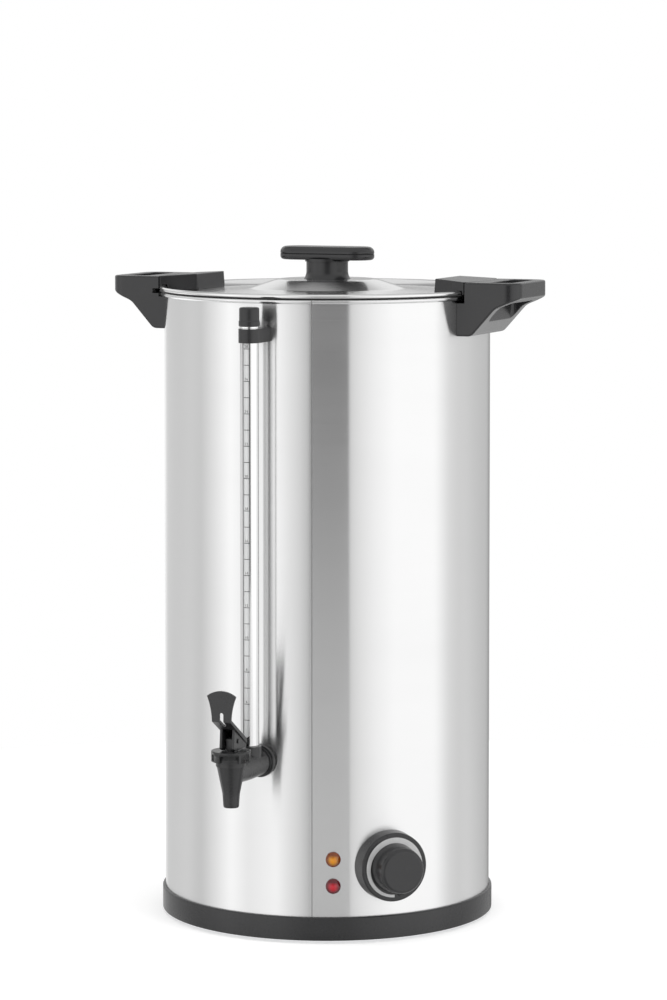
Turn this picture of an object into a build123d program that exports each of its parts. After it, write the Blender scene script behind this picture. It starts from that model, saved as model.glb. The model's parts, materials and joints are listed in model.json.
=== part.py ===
from build123d import *

import os
from math import cos, hypot, radians, sin, sqrt

# Hot water urn of about 28 litres: a single-walled steel vessel on a moulded base, with a lid
# that turns between its two handles, a lever tap, a sight gauge and a thermostat.
#
# Frame: millimetres, +Z up, origin on the vessel's axis in the plane it rests on.
# The tap points to -Y and the handles to -X and +X. An azimuth is counted in degrees
# from the tap towards +X.

# ------------------------------------------------------------------ fits and clearances
running_fit = 0.05  # radial play of a pin or shaft in its hole
seat_gap = 0.05  # play between pieces that are fixed to each other
body_gap = 0.3  # play between pieces that move past each other

# ------------------------------------------------------------------ vessel and base
vessel_radius = 150.0
wall = 1.0
foot_height = 2.5
vessel_height = 571.3  # rim above the underside of the base ring
curl_radius = 3.0
base_ring_height = 21.0
base_ring_proud = 2.7
base_ring_wall = 2.0
flange_width = 20.0
flange_thickness = 2.5
bottom_plate_thickness = 1.0
bottom_screw_count = 4
bottom_screw_radius = 1.5
foot_count = 4
foot_radius = 9.0
foot_inset = 32.0  # middle of a foot inside the vessel's outer wall
boss_inset = 8.0  # middle of a screw boss inside the ring's inner wall
boss_height = 6.0
vent_circle_radius = 60.0
vent_count = 12
vent_length = 24.0
vent_width = 4.0
floor_height = 130.0  # tank floor above the underside of the base ring
floor_thickness = 1.2
floor_lip = 12.0
floor_corner = 5.0

# ------------------------------------------------------------------ handles
handle_reach = 51.5  # from the wall to the outer end
handle_half_width = 43.0
handle_rise = 12.2  # top above the rim
handle_drop = 36.0  # bracket's lower edge below the rim
handle_grip_height = 14.2
handle_grip_width = 10.5
handle_knee_reach = 30.0
handle_knee_drop = 11.0
handle_foot_reach = 7.5
handle_corner = 8.5
edge_round = 1.2
handle_side_bar = 12.0
handle_hole_corner = 5.0
handle_screw_drop = 19.5
handle_screw_spread = 20.0
handle_screw_radius = 2.5
handle_screw_length = 14.0
screw_head_height = 2.6
slit = 1.0  # gap between a handle and the lid's wing
lock_slot_depth = 6.0
lock_slot_drop = 3.3
lock_slot_height = 4.4
lock_slot_start = 10.0  # closed end of the slot, from the handle's middle

# ------------------------------------------------------------------ lid
lid_thickness = 0.8
lid_overhang = 4.0  # hem beyond the vessel's outer wall
hem_width = 4.4
hem_height = 3.2
seal_gap = 1.3  # between the rim and the hem, filled by the seal
seal_inset = 0.2  # outer edge of the seal inside the hem's
lid_dish_depth = 1.3  # lowest part of the lid below the rim
lid_dish_inset = 3.5
lid_cone_foot_radius = 72.0
lid_cone_foot_rise = 2.7
lid_cone_top_radius = 48.0
lid_cone_top_rise = 10.3
lid_plateau_radius = 44.0
lid_plateau_rise = 11.1
wing_reach = 31.5  # inner end of a wing's top inside the vessel's outer wall
wing_draft = 1.8  # further reach of the wing's underside
wing_end_half_width = 30.0
wing_inner_rise = 14.7
wing_corner = 4.0
wing_pocket_depth = 1.4
wing_pocket_margin = 6.0
wing_screw_radius = 2.0
wing_screw_spread = 17.0
wing_screw_inset = 20.0
wing_screw_length = 8.0
lug_arc_start = 8.5  # degrees from the wing's middle to the near end of its lug
lug_arc_end = 15.0

# ------------------------------------------------------------------ lid knob
stem_radius = 19.2
stem_flare = 2.3
stem_height = 17.6
stem_flare_height = 7.0
stem_wall = 2.4
grip_length = 90.8
grip_width = 36.0
grip_lower_height = 5.6
grip_upper_height = 6.6
grip_collar_height = 1.6
grip_collar_radius = 20.4
grip_top_round = 5.4
grip_bottom_round = 3.2
grip_seam = 0.5
grip_wall = 2.2
screw_boss_wall = 3.5
knob_screw_radius = 2.5
knob_washer_radius = 8.0
knob_washer_thickness = 1.2

# ------------------------------------------------------------------ tap
tap_height = 160.0  # axis of the tap's shank above the underside of the base ring
tap_reach = 65.0  # spout axis from the wall
gasket_thickness = 2.4
inner_gasket_thickness = 3.4
inner_gasket_margin = 2.0  # beyond the nut's flats
tap_flange_radius = 14.4
tap_flange_thickness = 3.4
tap_step_radius = 13.0
tap_step_length = 3.0
tap_arm_radius = 12.2
arm_taper_start = 7.0  # beyond the gauge's axis
arm_taper_end = 14.0  # before the spout's axis
tap_neck_radius = 11.4
tap_bore_radius = 4.5
shank_radius = 7.9
shank_length = 18.0
tap_nut_across = 24.0
tap_nut_thickness = 6.0
spout_drop = 30.5  # spout mouth below the shank's axis
spout_tip_radius = 6.9
spout_tip_length = 12.0
spout_tip_taper = 0.8
spout_cone_radius = 12.7
spout_cone_rise = 6.0
tap_collar_radius = 13.4
tap_collar_rise = 14.0
chamber_radius = 9.6
chamber_drop = 2.0
bonnet_radius = 17.5
bonnet_skirt_radius = 15.4
bonnet_top_rise = 19.7
bonnet_plate = 3.2
bonnet_skirt_height = 10.0
bonnet_window_width = 4.4
bonnet_window_height = 5.0
bonnet_window_azimuth = 78.0
bonnet_window_count = 3
tap_stem_radius = 3.2
seat_cup_wall = 1.2
seat_cup_height = 5.5
seat_cup_play = 1.6
stem_flange_width = 1.4
stem_flange_thickness = 1.2
stem_head_width = 8.0
stem_head_rise = 2.4  # above the hinge pin's axis
spring_wire = 0.5
spring_radius = 5.2
spring_turns = 3

# ------------------------------------------------------------------ tap lever
pin_radius = 1.5
pin_rise = 8.2  # hinge pin above the bonnet
cam_lift_rate = 3.6  # stem lift per radian of the lever, mm
cam_swing = 40.0  # degrees
fork_gap = 9.4
fork_plate = 2.3
fork_back = 17.0  # rear end of the fork behind the pin
fork_back_rise = 0.6
web_back_rise = 8.0  # top of the web's rear end above the heel
fan_arc_height = 4.6
paddle_offset = 19.5  # paddle in front of the pin
paddle_top_rise = 46.5
paddle_thickness = 3.0
waist_rise = 21.0
waist_half_width = 9.0
paddle_half_width = 13.6
web_thickness = 4.0
paddle_slot_width = 4.0
paddle_slot_height = 13.0

# ------------------------------------------------------------------ sight gauge
gauge_reach = 25.0  # gauge axis from the wall
guard_radius = 8.2
guard_wall = 0.8
guard_slot_width = 6.4
guard_slot_start = 25.6  # slot's lower end above the tap's axis
guard_top_drop = 24.3  # upper end below the rim
gauge_glass_radius = 7.0
gauge_glass_wall = 1.2
gauge_socket_radius = 10.3
gauge_socket_rise = 17.3
gauge_socket_seat = 6.0
gauge_seal_height = 5.0
gauge_ring_height = 1.6
gauge_cap_radius = 9.35
gauge_cap_height = 16.6
gauge_clip_radius = 9.5
gauge_clip_height = 12.4
gauge_clip_drop = 31.1  # middle of the clip below the rim
clip_screw_radius = 2.0
clip_screw_length = 10.0

# ------------------------------------------------------------------ thermostat and lamps
dial_azimuth = 44.5
dial_height = 66.2
bezel_radius = 32.0
bezel_taper = 1.2
bezel_rise = 13.2
bezel_wall = 2.2
arc_outer_radius = 26.8
arc_thickness = 0.2
arc_width_start = 2.4
arc_width_end = 7.5
arc_sweep = 265.0
dial_knob_radius = 22.0
dial_knob_taper = 1.6
dial_knob_height = 20.0
dial_knob_round = 3.5
dial_knob_wall = 2.4
dial_hub_depth = 4.0
dial_shaft_radius = 3.0
dial_bushing_radius = 5.0
dial_bushing_proud = 3.0
dial_nut_across = 13.0
dial_nut_thickness = 2.4
thermostat_width = 34.0
thermostat_height = 30.0
thermostat_depth = 26.0
lamp_azimuth = 25.0
amber_lamp_height = 73.0
red_lamp_height = 49.0
lamp_lens_radius = 6.7
lamp_lens_rise = 4.2
lamp_body_radius = 4.6
lamp_body_length = 24.0

# ------------------------------------------------------------------ electrics in the base
heater_plate_radius = 84.0
heater_plate_thickness = 4.0
element_radius = 62.0
element_tube_radius = 4.0
element_gap_angle = 40.0
terminal_length = 30.0
cutout_radius = 12.0
cutout_height = 10.0
block_length = 40.0
block_width = 18.0
block_height = 16.0
block_offset = 70.0
gland_height = 45.0
gland_radius = 8.0
gland_bore_radius = 3.6
gland_bore_start = 1.0  # tight bore's inner end outside the wall; wider from there inwards
gland_clear_radius = 5.0
gland_flange_radius = 12.0
gland_reach = 17.0
gland_neck = 10.0

# ------------------------------------------------------------------ places that follow
base_z = foot_height
rim_z = base_z + vessel_height
floor_z = base_z + floor_height
inner_radius = vessel_radius - wall
plate_seat_z = base_z + 2 * bottom_plate_thickness
flange_top_z = plate_seat_z + flange_thickness
groove_z = flange_top_z + 1.5
foot_circle = vessel_radius - foot_inset
boss_circle = inner_radius - seat_gap - base_ring_wall - boss_inset
handle_face_radius = vessel_radius + 2 * curl_radius + slit + 0.4
wing_radius = handle_face_radius - slit
notch_z = rim_z - 2 * curl_radius - 0.4
lock_slot_z = rim_z - lock_slot_drop
handle_top_z = rim_z + handle_rise
hem_radius = vessel_radius + lid_overhang
hem_bottom_z = rim_z + seal_gap
hem_top_z = hem_bottom_z + hem_height
plateau_z = rim_z + lid_plateau_rise
grip_z = plateau_z + stem_height
tap_z = base_z + tap_height
spout_y = -(vessel_radius + tap_reach)
spout_z = tap_z - spout_drop
collar_z = tap_z + tap_collar_rise
bonnet_z = tap_z + bonnet_top_rise
pin_z = bonnet_z + body_gap + pin_rise
gauge_y = -(vessel_radius + gauge_reach)
socket_z = tap_z + gauge_socket_rise
guard_top_z = rim_z - guard_top_drop
cap_z = guard_top_z + gauge_ring_height
dial_z = base_z + dial_height
bezel_face = vessel_radius + bezel_rise


def radial(azimuth):
    """Unit vector out of the vessel at an azimuth."""
    return Vector(sin(radians(azimuth)), -cos(radians(azimuth)), 0)


def tangent(azimuth):
    """Unit vector along the wall, to the right when it is looked at from outside."""
    return Vector(cos(radians(azimuth)), sin(radians(azimuth)), 0)


def wall_plane(azimuth, height, radius):
    """Plane that faces out of the wall: x to the right, y up, z outwards."""
    origin = radial(azimuth) * radius + Vector(0, 0, height)
    return Plane(origin=origin, x_dir=tangent(azimuth), z_dir=radial(azimuth))


def lathe_plane(azimuth, height):
    """Plane through a radial axis: x across the axis, y outwards from the vessel's axis."""
    return Plane(origin=(0, 0, height), x_dir=tangent(azimuth), z_dir=(0, 0, -1))


def radial_axis(azimuth, height):
    """Axis out of the wall at an azimuth and a height."""
    return Axis((0, 0, height), tuple(radial(azimuth)))


def spout_plane():
    """Upright plane through the spout's axis: x across it, y up."""
    return Plane(origin=(0, spout_y, 0), x_dir=(1, 0, 0), z_dir=(0, -1, 0))


def side_plane():
    """Upright plane through the tap: x towards the back, y up, seen from +X."""
    return Plane(origin=(0, 0, 0), x_dir=(0, 1, 0), z_dir=(1, 0, 0))


def lid_top(radius):
    """Height of the lid's upper face at a radius between its dish and its cone's foot."""
    dish_radius = inner_radius - lid_dish_inset
    share = (dish_radius - radius) / (dish_radius - lid_cone_foot_radius)
    low = rim_z - lid_dish_depth
    return low + share * (lid_cone_foot_rise + lid_dish_depth)


# ------------------------------------------------------------------ base


def make_base_ring():
    """Moulded ring: a groove for the vessel's lower edge, a flange and bosses for the plate."""
    outer = vessel_radius + base_ring_proud
    top_z = base_z + base_ring_height
    groove_out = vessel_radius + seat_gap
    groove_in = inner_radius - seat_gap
    rib_in = groove_in - base_ring_wall
    rib_z = base_z + 0.6 * base_ring_height
    flange_in = vessel_radius - flange_width
    with BuildPart() as base_ring:
        with BuildSketch(Plane.XZ):
            Polygon(
                (outer - 1.0, base_z),
                (outer, base_z + 1.0),
                (outer, top_z - 1.4),
                (outer - 1.4, top_z),
                (groove_out, top_z),
                (groove_out, groove_z),
                (groove_in, groove_z),
                (groove_in, rib_z),
                (rib_in, rib_z),
                (rib_in, flange_top_z),
                (flange_in, flange_top_z),
                (flange_in, plate_seat_z),
                (groove_in, plate_seat_z),
                (groove_in, base_z),
                align=None,
            )
        revolve(axis=Axis.Z)
        with BuildSketch(Plane.XY.offset(flange_top_z)):
            with PolarLocations(boss_circle, bottom_screw_count, start_angle=45):
                Circle(3 * bottom_screw_radius)
        extrude(amount=boss_height)
        with BuildSketch(Plane.XY.offset(plate_seat_z)):
            with PolarLocations(boss_circle, bottom_screw_count, start_angle=45):
                Circle(bottom_screw_radius + seat_gap)
        extrude(amount=flange_thickness + boss_height - 1.5, mode=Mode.SUBTRACT)
    return base_ring


def make_bottom_plate():
    """Pressed plate under the base, with vents and holes for the feet and screws."""
    plate_radius = inner_radius - 3 * seat_gap
    with BuildPart() as bottom_plate:
        with BuildSketch(Plane.XY.offset(plate_seat_z - bottom_plate_thickness)):
            Circle(plate_radius)
            with PolarLocations(boss_circle, bottom_screw_count, start_angle=45):
                Circle(bottom_screw_radius + 0.3, mode=Mode.SUBTRACT)
            with PolarLocations(foot_circle, foot_count):
                Circle(foot_radius / 3 + seat_gap, mode=Mode.SUBTRACT)
            with PolarLocations(vent_circle_radius, vent_count):
                SlotOverall(vent_length, vent_width, mode=Mode.SUBTRACT)
        extrude(amount=bottom_plate_thickness)
    return bottom_plate


def make_bottom_screws():
    """Pan-head screws that hold the plate to the ring's bosses."""
    head_z = plate_seat_z - bottom_plate_thickness
    with BuildPart() as bottom_screws:
        with BuildSketch(Plane.XY.offset(head_z)):
            with PolarLocations(boss_circle, bottom_screw_count, start_angle=45):
                Circle(bottom_screw_radius)
        extrude(amount=flange_thickness + boss_height - 2.0)
        with BuildSketch(Plane.XY.offset(head_z)):
            with PolarLocations(boss_circle, bottom_screw_count, start_angle=45):
                Circle(2 * bottom_screw_radius)
        extrude(amount=-1.6, taper=20)
    return bottom_screws


def make_rubber_feet():
    """Feet pushed into the plate: pad below, neck through the plate, bulb above it."""
    under_z = plate_seat_z - bottom_plate_thickness
    with BuildPart() as rubber_feet:
        with BuildSketch(Plane.XY.offset(under_z)):
            with PolarLocations(foot_circle, foot_count):
                Circle(foot_radius)
        extrude(amount=-under_z, taper=12)
        with BuildSketch(Plane.XY.offset(under_z)):
            with PolarLocations(foot_circle, foot_count):
                Circle(foot_radius / 3)
        extrude(amount=bottom_plate_thickness)
        with BuildSketch(Plane.XY.offset(plate_seat_z)):
            with PolarLocations(foot_circle, foot_count):
                Circle(0.45 * foot_radius)
        extrude(amount=3.0, taper=20)
    return rubber_feet


# ------------------------------------------------------------------ vessel


def make_vessel_shell():
    """Rolled and welded steel cylinder with a curled rim and the holes for what is fixed to it."""
    curl_center = (inner_radius + curl_radius, rim_z - curl_radius)
    curl_inside = curl_radius - wall
    with BuildPart() as vessel_shell:
        with BuildSketch(Plane.XZ):
            with BuildLine():
                Line((vessel_radius, groove_z), (vessel_radius, curl_center[1]))
                inner_curl = CenterArc(curl_center, curl_inside, 180, -250)
                outer_curl = CenterArc(curl_center, curl_radius, 180, -250)
                Line(inner_curl @ 1, outer_curl @ 1)
                Line((inner_radius, curl_center[1]), (inner_radius, groove_z))
                Line((inner_radius, groove_z), (vessel_radius, groove_z))
            make_face()
        revolve(axis=Axis.Z)
        for azimuth, height, radius in wall_holes():
            with BuildSketch(wall_plane(azimuth, height, inner_radius - 2.0)):
                Circle(radius)
            extrude(amount=wall + 4.0, mode=Mode.SUBTRACT)
        with BuildSketch(Plane.YZ):
            with Locations((-handle_screw_spread, 0), (handle_screw_spread, 0)):
                with Locations((0, rim_z - handle_screw_drop)):
                    Circle(handle_screw_radius + 0.2)
        extrude(amount=vessel_radius + 5.0, both=True, mode=Mode.SUBTRACT)
    return vessel_shell


def wall_holes():
    """Azimuth, height and radius of each round hole in the wall."""
    return [
        (0, tap_z, shank_radius + 0.2),
        (0, rim_z - gauge_clip_drop, clip_screw_radius + 0.2),
        (dial_azimuth, dial_z, dial_bushing_radius + 0.1),
        (lamp_azimuth, base_z + amber_lamp_height, lamp_body_radius + 0.1),
        (lamp_azimuth, base_z + red_lamp_height, lamp_body_radius + 0.1),
        (180, base_z + gland_height, gland_radius + 0.1),
    ]


def make_tank_floor():
    """Drawn floor with an upright lip that is welded inside the wall."""
    outer = inner_radius - seat_gap
    with BuildPart() as tank_floor:
        with BuildSketch(Plane.XZ):
            Polygon(
                (0, floor_z - floor_thickness),
                (outer - floor_corner, floor_z - floor_thickness),
                (outer - 1.5, floor_z + 1.0),
                (outer, floor_z + floor_corner),
                (outer, floor_z + floor_lip),
                (outer - floor_thickness, floor_z + floor_lip),
                (outer - floor_thickness, floor_z + floor_corner),
                (outer - 2.6, floor_z + 2.0),
                (outer - floor_corner - 0.6, floor_z),
                (0, floor_z),
                align=None,
            )
        revolve(axis=Axis.Z)
    return tank_floor


# ------------------------------------------------------------------ handles


def make_handle():
    """The +X handle: bracket on the wall, finger hole, grip bar and the lid's lock slot."""
    grip_low_z = handle_top_z - handle_grip_height
    bottom_z = rim_z - handle_drop
    end_x = vessel_radius + handle_reach
    hole_in = handle_face_radius + handle_side_bar
    hole_out = end_x - handle_grip_width
    hole_half = handle_half_width - handle_side_bar
    with BuildPart() as handle:
        with BuildSketch(Plane.XZ):
            Polygon(
                (0.8 * vessel_radius, bottom_z),
                (vessel_radius + handle_foot_reach, bottom_z),
                (vessel_radius + handle_knee_reach, rim_z - handle_knee_drop),
                (end_x, grip_low_z),
                (end_x, handle_top_z),
                (0.8 * vessel_radius, handle_top_z),
                align=None,
            )
        extrude(amount=handle_half_width, both=True)
        upright = handle.edges().filter_by(Axis.Z).group_by(Axis.X)[-1]
        fillet(upright, radius=handle_corner)
        outside = handle.edges().filter_by_position(Axis.X, 0.85 * vessel_radius, 2 * vessel_radius)
        fillet(outside, radius=edge_round)
        with BuildSketch(Plane.XY.offset(bottom_z - 1.0)):
            Circle(vessel_radius + seat_gap)
        extrude(amount=handle_drop + handle_rise + 5.0, mode=Mode.SUBTRACT)
        with BuildSketch(Plane.XY.offset(notch_z)):
            Circle(handle_face_radius)
        extrude(amount=2 * handle_drop, mode=Mode.SUBTRACT)
        with BuildSketch(Plane.XY.offset(bottom_z - 1.0)):
            with Locations(((hole_in + hole_out) / 2, 0)):
                RectangleRounded(hole_out - hole_in, 2 * hole_half, radius=handle_hole_corner)
        extrude(amount=2 * handle_drop, mode=Mode.SUBTRACT)
        with BuildSketch(Plane.XY.offset(lock_slot_z)):
            Circle(handle_face_radius + lock_slot_depth)
            with Locations((0, lock_slot_start - 2 * vessel_radius)):
                Rectangle(4 * vessel_radius, 4 * vessel_radius, mode=Mode.SUBTRACT)
        extrude(amount=lock_slot_height, mode=Mode.SUBTRACT)
        with BuildSketch(Plane.YZ):
            with Locations((-handle_screw_spread, 0), (handle_screw_spread, 0)):
                with Locations((0, rim_z - handle_screw_drop)):
                    Circle(handle_screw_radius + seat_gap)
        extrude(amount=vessel_radius + handle_screw_length, mode=Mode.SUBTRACT)
    return handle


def make_handle_screws():
    """Two pan-head screws for the +X handle, with their heads inside the vessel."""
    half_chord = sqrt(inner_radius**2 - (handle_screw_spread + 5.0) ** 2)
    head_x = half_chord - seat_gap
    with BuildPart() as screws:
        with BuildSketch(Plane.YZ.offset(head_x - 3.0)):
            with Locations((-handle_screw_spread, 0), (handle_screw_spread, 0)):
                with Locations((0, rim_z - handle_screw_drop)):
                    Circle(handle_screw_radius)
        extrude(amount=vessel_radius + handle_screw_length - head_x)
        with BuildSketch(Plane.YZ.offset(head_x)):
            with Locations((-handle_screw_spread, 0), (handle_screw_spread, 0)):
                with Locations((0, rim_z - handle_screw_drop)):
                    Circle(2 * handle_screw_radius)
        extrude(amount=-3.0, taper=15)
    return screws


# ------------------------------------------------------------------ lid


def make_lid_shell():
    """Spun lid: plateau for the knob, cone, shallow dish and a rolled hem over the rim."""
    dish_radius = inner_radius - lid_dish_inset
    hem_in = hem_radius - hem_width
    dish_z = rim_z - lid_dish_depth
    with BuildPart() as lid_shell:
        with BuildSketch(Plane.XZ):
            Polygon(
                (0, plateau_z),
                (lid_plateau_radius, plateau_z),
                (lid_cone_top_radius, rim_z + lid_cone_top_rise),
                (lid_cone_foot_radius, lid_top(lid_cone_foot_radius)),
                (dish_radius, dish_z),
                (hem_in + 0.4, hem_bottom_z + 1.2),
                (hem_in + 0.4, hem_bottom_z + 0.2),
                (dish_radius + 0.3, dish_z - lid_thickness),
                (lid_cone_foot_radius, lid_top(lid_cone_foot_radius) - lid_thickness),
                (lid_cone_top_radius - 0.4, rim_z + lid_cone_top_rise - lid_thickness),
                (lid_plateau_radius, plateau_z - lid_thickness),
                (0, plateau_z - lid_thickness),
                align=None,
            )
            with Locations((hem_radius - hem_width / 2, hem_bottom_z + hem_height / 2)):
                RectangleRounded(hem_width, hem_height, radius=0.45 * hem_height)
        revolve(axis=Axis.Z)
        with BuildSketch(Plane.XY.offset(rim_z - 20.0)):
            Circle(knob_screw_radius + 0.2)
            with Locations(*wing_screw_places()):
                Circle(wing_screw_radius + 0.2)
        extrude(amount=40.0, mode=Mode.SUBTRACT)
    return lid_shell


def wing_screw_places():
    """The four screws of the two wings, in plan."""
    x = vessel_radius - wing_screw_inset
    y = wing_screw_spread
    return [(x, y), (x, -y), (-x, y), (-x, -y)]


def make_lid_seal():
    """Silicone ring between the vessel's rim and the lid's hem."""
    low_z = rim_z + body_gap
    high_z = hem_bottom_z - body_gap
    outer = hem_radius - seal_inset
    with BuildPart() as lid_seal:
        with BuildSketch(Plane.XZ):
            Polygon(
                (inner_radius + 1.8, low_z),
                (outer - 0.2, low_z),
                (outer, (low_z + high_z) / 2),
                (outer - 0.2, high_z),
                (inner_radius + 1.8, high_z),
                align=None,
            )
        revolve(axis=Axis.Z)
    return lid_seal


def make_wing():
    """The +X wing: a block on the lid, with a lip over the hem and a lug for the handle's slot."""
    end_x = vessel_radius - wing_reach
    foot_x = end_x - wing_draft
    end_z = rim_z + wing_inner_rise
    side = handle_half_width
    corner_x = sqrt(wing_radius**2 - side**2)
    dish_radius = inner_radius - lid_dish_inset
    low_z = rim_z - lid_dish_depth - 1.0
    lip_z = hem_bottom_z - 0.2
    lug_z = lock_slot_z + 0.6
    slope = (Vector(wing_radius, 0, handle_top_z) - Vector(end_x, 0, end_z)).normalized()
    across = Vector(-slope.Z, 0, slope.X)
    with BuildPart() as wing:
        with BuildSketch(Plane.XY.offset(low_z)):
            Polygon(
                (foot_x, -wing_end_half_width),
                (corner_x, -side),
                (wing_radius + 9.0, -side),
                (wing_radius + 9.0, side),
                (corner_x, side),
                (foot_x, wing_end_half_width),
                align=None,
            )
        extrude(amount=wing_inner_rise + 10.0)
        fillet(wing.edges().filter_by(Axis.Z).group_by(Axis.X)[0], radius=wing_corner)
        with BuildSketch(Plane.XY.offset(low_z)):
            Circle(wing_radius)
        extrude(amount=wing_inner_rise + 10.0, mode=Mode.INTERSECT)
        with BuildSketch(Plane.XZ):
            Polygon(
                (foot_x, low_z),
                (wing_radius + 1.0, low_z),
                (wing_radius + 1.0, handle_top_z),
                (end_x, end_z),
                align=None,
            )
        extrude(amount=2 * side, both=True, mode=Mode.INTERSECT)
        fillet(wing.faces().sort_by(Axis.Z)[-1].edges(), radius=1.0)
        with BuildSketch(Plane(origin=(end_x, 0, end_z), x_dir=slope, z_dir=across)):
            Polygon(
                (wing_pocket_margin, 0.7 * wing_end_half_width),
                (corner_x - end_x - wing_pocket_margin, 0.75 * side),
                (corner_x - end_x - wing_pocket_margin, -0.75 * side),
                (wing_pocket_margin, -0.7 * wing_end_half_width),
                align=None,
            )
        extrude(amount=-wing_pocket_depth, mode=Mode.SUBTRACT)
        with BuildSketch(Plane.XZ):
            Polygon(
                (0.5 * end_x, low_z - 5.0),
                (0.5 * end_x, lid_top(0.5 * end_x) + seat_gap),
                (dish_radius, lid_top(dish_radius) + seat_gap),
                (hem_radius - hem_width - 0.3, hem_bottom_z + 1.4),
                (hem_radius - hem_width - 0.3, hem_top_z + seat_gap),
                (hem_radius + 0.3, hem_top_z + seat_gap),
                (hem_radius + 0.3, lip_z),
                (wing_radius + 9.0, lip_z),
                (wing_radius + 9.0, low_z - 5.0),
                align=None,
            )
        revolve(axis=Axis.Z, mode=Mode.SUBTRACT)
        with BuildSketch(Plane.XY.offset(low_z - 5.0)):
            with Locations(*wing_screw_places()):
                Circle(wing_screw_radius + seat_gap)
        extrude(amount=wing_screw_length + 7.0, mode=Mode.SUBTRACT)
        with BuildSketch(Plane.XY.offset(lug_z)):
            Circle(handle_face_radius - body_gap)
            Circle(vessel_radius + 2 * curl_radius - 0.6, mode=Mode.SUBTRACT)
            start = radians(lug_arc_start)
            end = radians(lug_arc_end)
            far = 2 * vessel_radius
            Polygon(
                (0, 0),
                (far * cos(start), far * sin(start)),
                (far * cos(end), far * sin(end)),
                align=None,
                mode=Mode.INTERSECT,
            )
        extrude(amount=lip_z + 0.5 - lug_z)
    return wing


def make_wing_screws():
    """Four pan-head screws up through the lid into the wings."""
    circle = hypot(vessel_radius - wing_screw_inset, wing_screw_spread)
    head_z = lid_top(circle + 2 * wing_screw_radius) - lid_thickness - 2 * seat_gap
    with BuildPart() as wing_screws:
        with BuildSketch(Plane.XY.offset(head_z)):
            with Locations(*wing_screw_places()):
                Circle(wing_screw_radius)
        extrude(amount=wing_screw_length)
        with BuildSketch(Plane.XY.offset(head_z)):
            with Locations(*wing_screw_places()):
                Circle(2 * wing_screw_radius)
        extrude(amount=-screw_head_height, taper=15)
    return wing_screws


# ------------------------------------------------------------------ lid knob


def make_knob_stem():
    """Hollow stem with a flared foot, a closed top and a boss for the screw."""
    bore = knob_screw_radius + 0.1
    boss = bore + screw_boss_wall
    foot = stem_radius + stem_flare
    with BuildPart() as knob_stem:
        with BuildSketch(Plane.XZ):
            with BuildLine():
                Polyline(
                    (foot, plateau_z + seat_gap),
                    (foot - stem_wall, plateau_z + seat_gap),
                    (stem_radius - stem_wall, plateau_z + stem_flare_height),
                    (stem_radius - stem_wall, grip_z - stem_wall),
                    (boss, grip_z - stem_wall),
                    (boss, plateau_z + seat_gap),
                    (bore, plateau_z + seat_gap),
                    (bore, grip_z - seat_gap),
                    (stem_radius, grip_z - seat_gap),
                    (stem_radius, plateau_z + stem_flare_height),
                )
                flare_start = (stem_radius, plateau_z + stem_flare_height)
                flare_end = (foot, plateau_z + seat_gap)
                TangentArc(flare_start, flare_end, tangent=(0, -1))
            make_face()
        revolve(axis=Axis.Z)
    return knob_stem


def make_grip_lower():
    """Lower half of the grip: an open tray with a collar around the stem and a screw boss."""
    bore = knob_screw_radius + seat_gap
    with BuildPart() as grip_lower:
        with BuildSketch(Plane.XY.offset(grip_z)):
            SlotOverall(grip_length, grip_width)
        extrude(amount=grip_lower_height)
        chamfer(grip_lower.edges().group_by(Axis.Z)[-1], length=grip_seam)
        fillet(grip_lower.edges().group_by(Axis.Z)[0], radius=grip_bottom_round)
        with BuildSketch(Plane.XY.offset(grip_z + grip_wall)):
            SlotOverall(grip_length - 2 * grip_wall, grip_width - 2 * grip_wall)
            Circle(bore + screw_boss_wall, mode=Mode.SUBTRACT)
        extrude(amount=grip_lower_height, mode=Mode.SUBTRACT)
        with BuildSketch(Plane.XY.offset(grip_z - grip_collar_height)):
            Circle(grip_collar_radius)
            Circle(stem_radius + seat_gap, mode=Mode.SUBTRACT)
        extrude(amount=grip_collar_height + grip_wall / 2)
        with BuildSketch(Plane.XY.offset(grip_z - 1.0)):
            Circle(bore)
        extrude(amount=grip_lower_height, mode=Mode.SUBTRACT)
    return grip_lower


def make_grip_upper():
    """Upper half of the grip: a domed cover with a rib that locates it in the tray."""
    low_z = grip_z + grip_lower_height
    with BuildPart() as grip_upper:
        with BuildSketch(Plane.XY.offset(low_z)):
            SlotOverall(grip_length, grip_width)
        extrude(amount=grip_upper_height)
        fillet(grip_upper.edges().group_by(Axis.Z)[-1], radius=grip_top_round)
        chamfer(grip_upper.edges().group_by(Axis.Z)[0], length=grip_seam)
        with BuildSketch(Plane.XY.offset(low_z)):
            SlotOverall(grip_length - 2 * grip_wall, grip_width - 2 * grip_wall)
        extrude(amount=grip_upper_height - grip_wall - 1.0, mode=Mode.SUBTRACT)
        with BuildSketch(Plane.XY.offset(low_z - 1.5)):
            SlotOverall(grip_length - 2 * grip_wall - 0.2, grip_width - 2 * grip_wall - 0.2)
            SlotOverall(grip_length - 4 * grip_wall, grip_width - 4 * grip_wall, mode=Mode.SUBTRACT)
        extrude(amount=grip_upper_height - grip_wall + 0.6)
    return grip_upper


def make_knob_washer():
    """Washer between the knob's screw and the lid."""
    high_z = plateau_z - lid_thickness
    with BuildPart() as knob_washer:
        with BuildSketch(Plane.XY.offset(high_z - knob_washer_thickness)):
            Circle(knob_washer_radius)
            Circle(knob_screw_radius + seat_gap, mode=Mode.SUBTRACT)
        extrude(amount=knob_washer_thickness)
    return knob_washer


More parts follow.
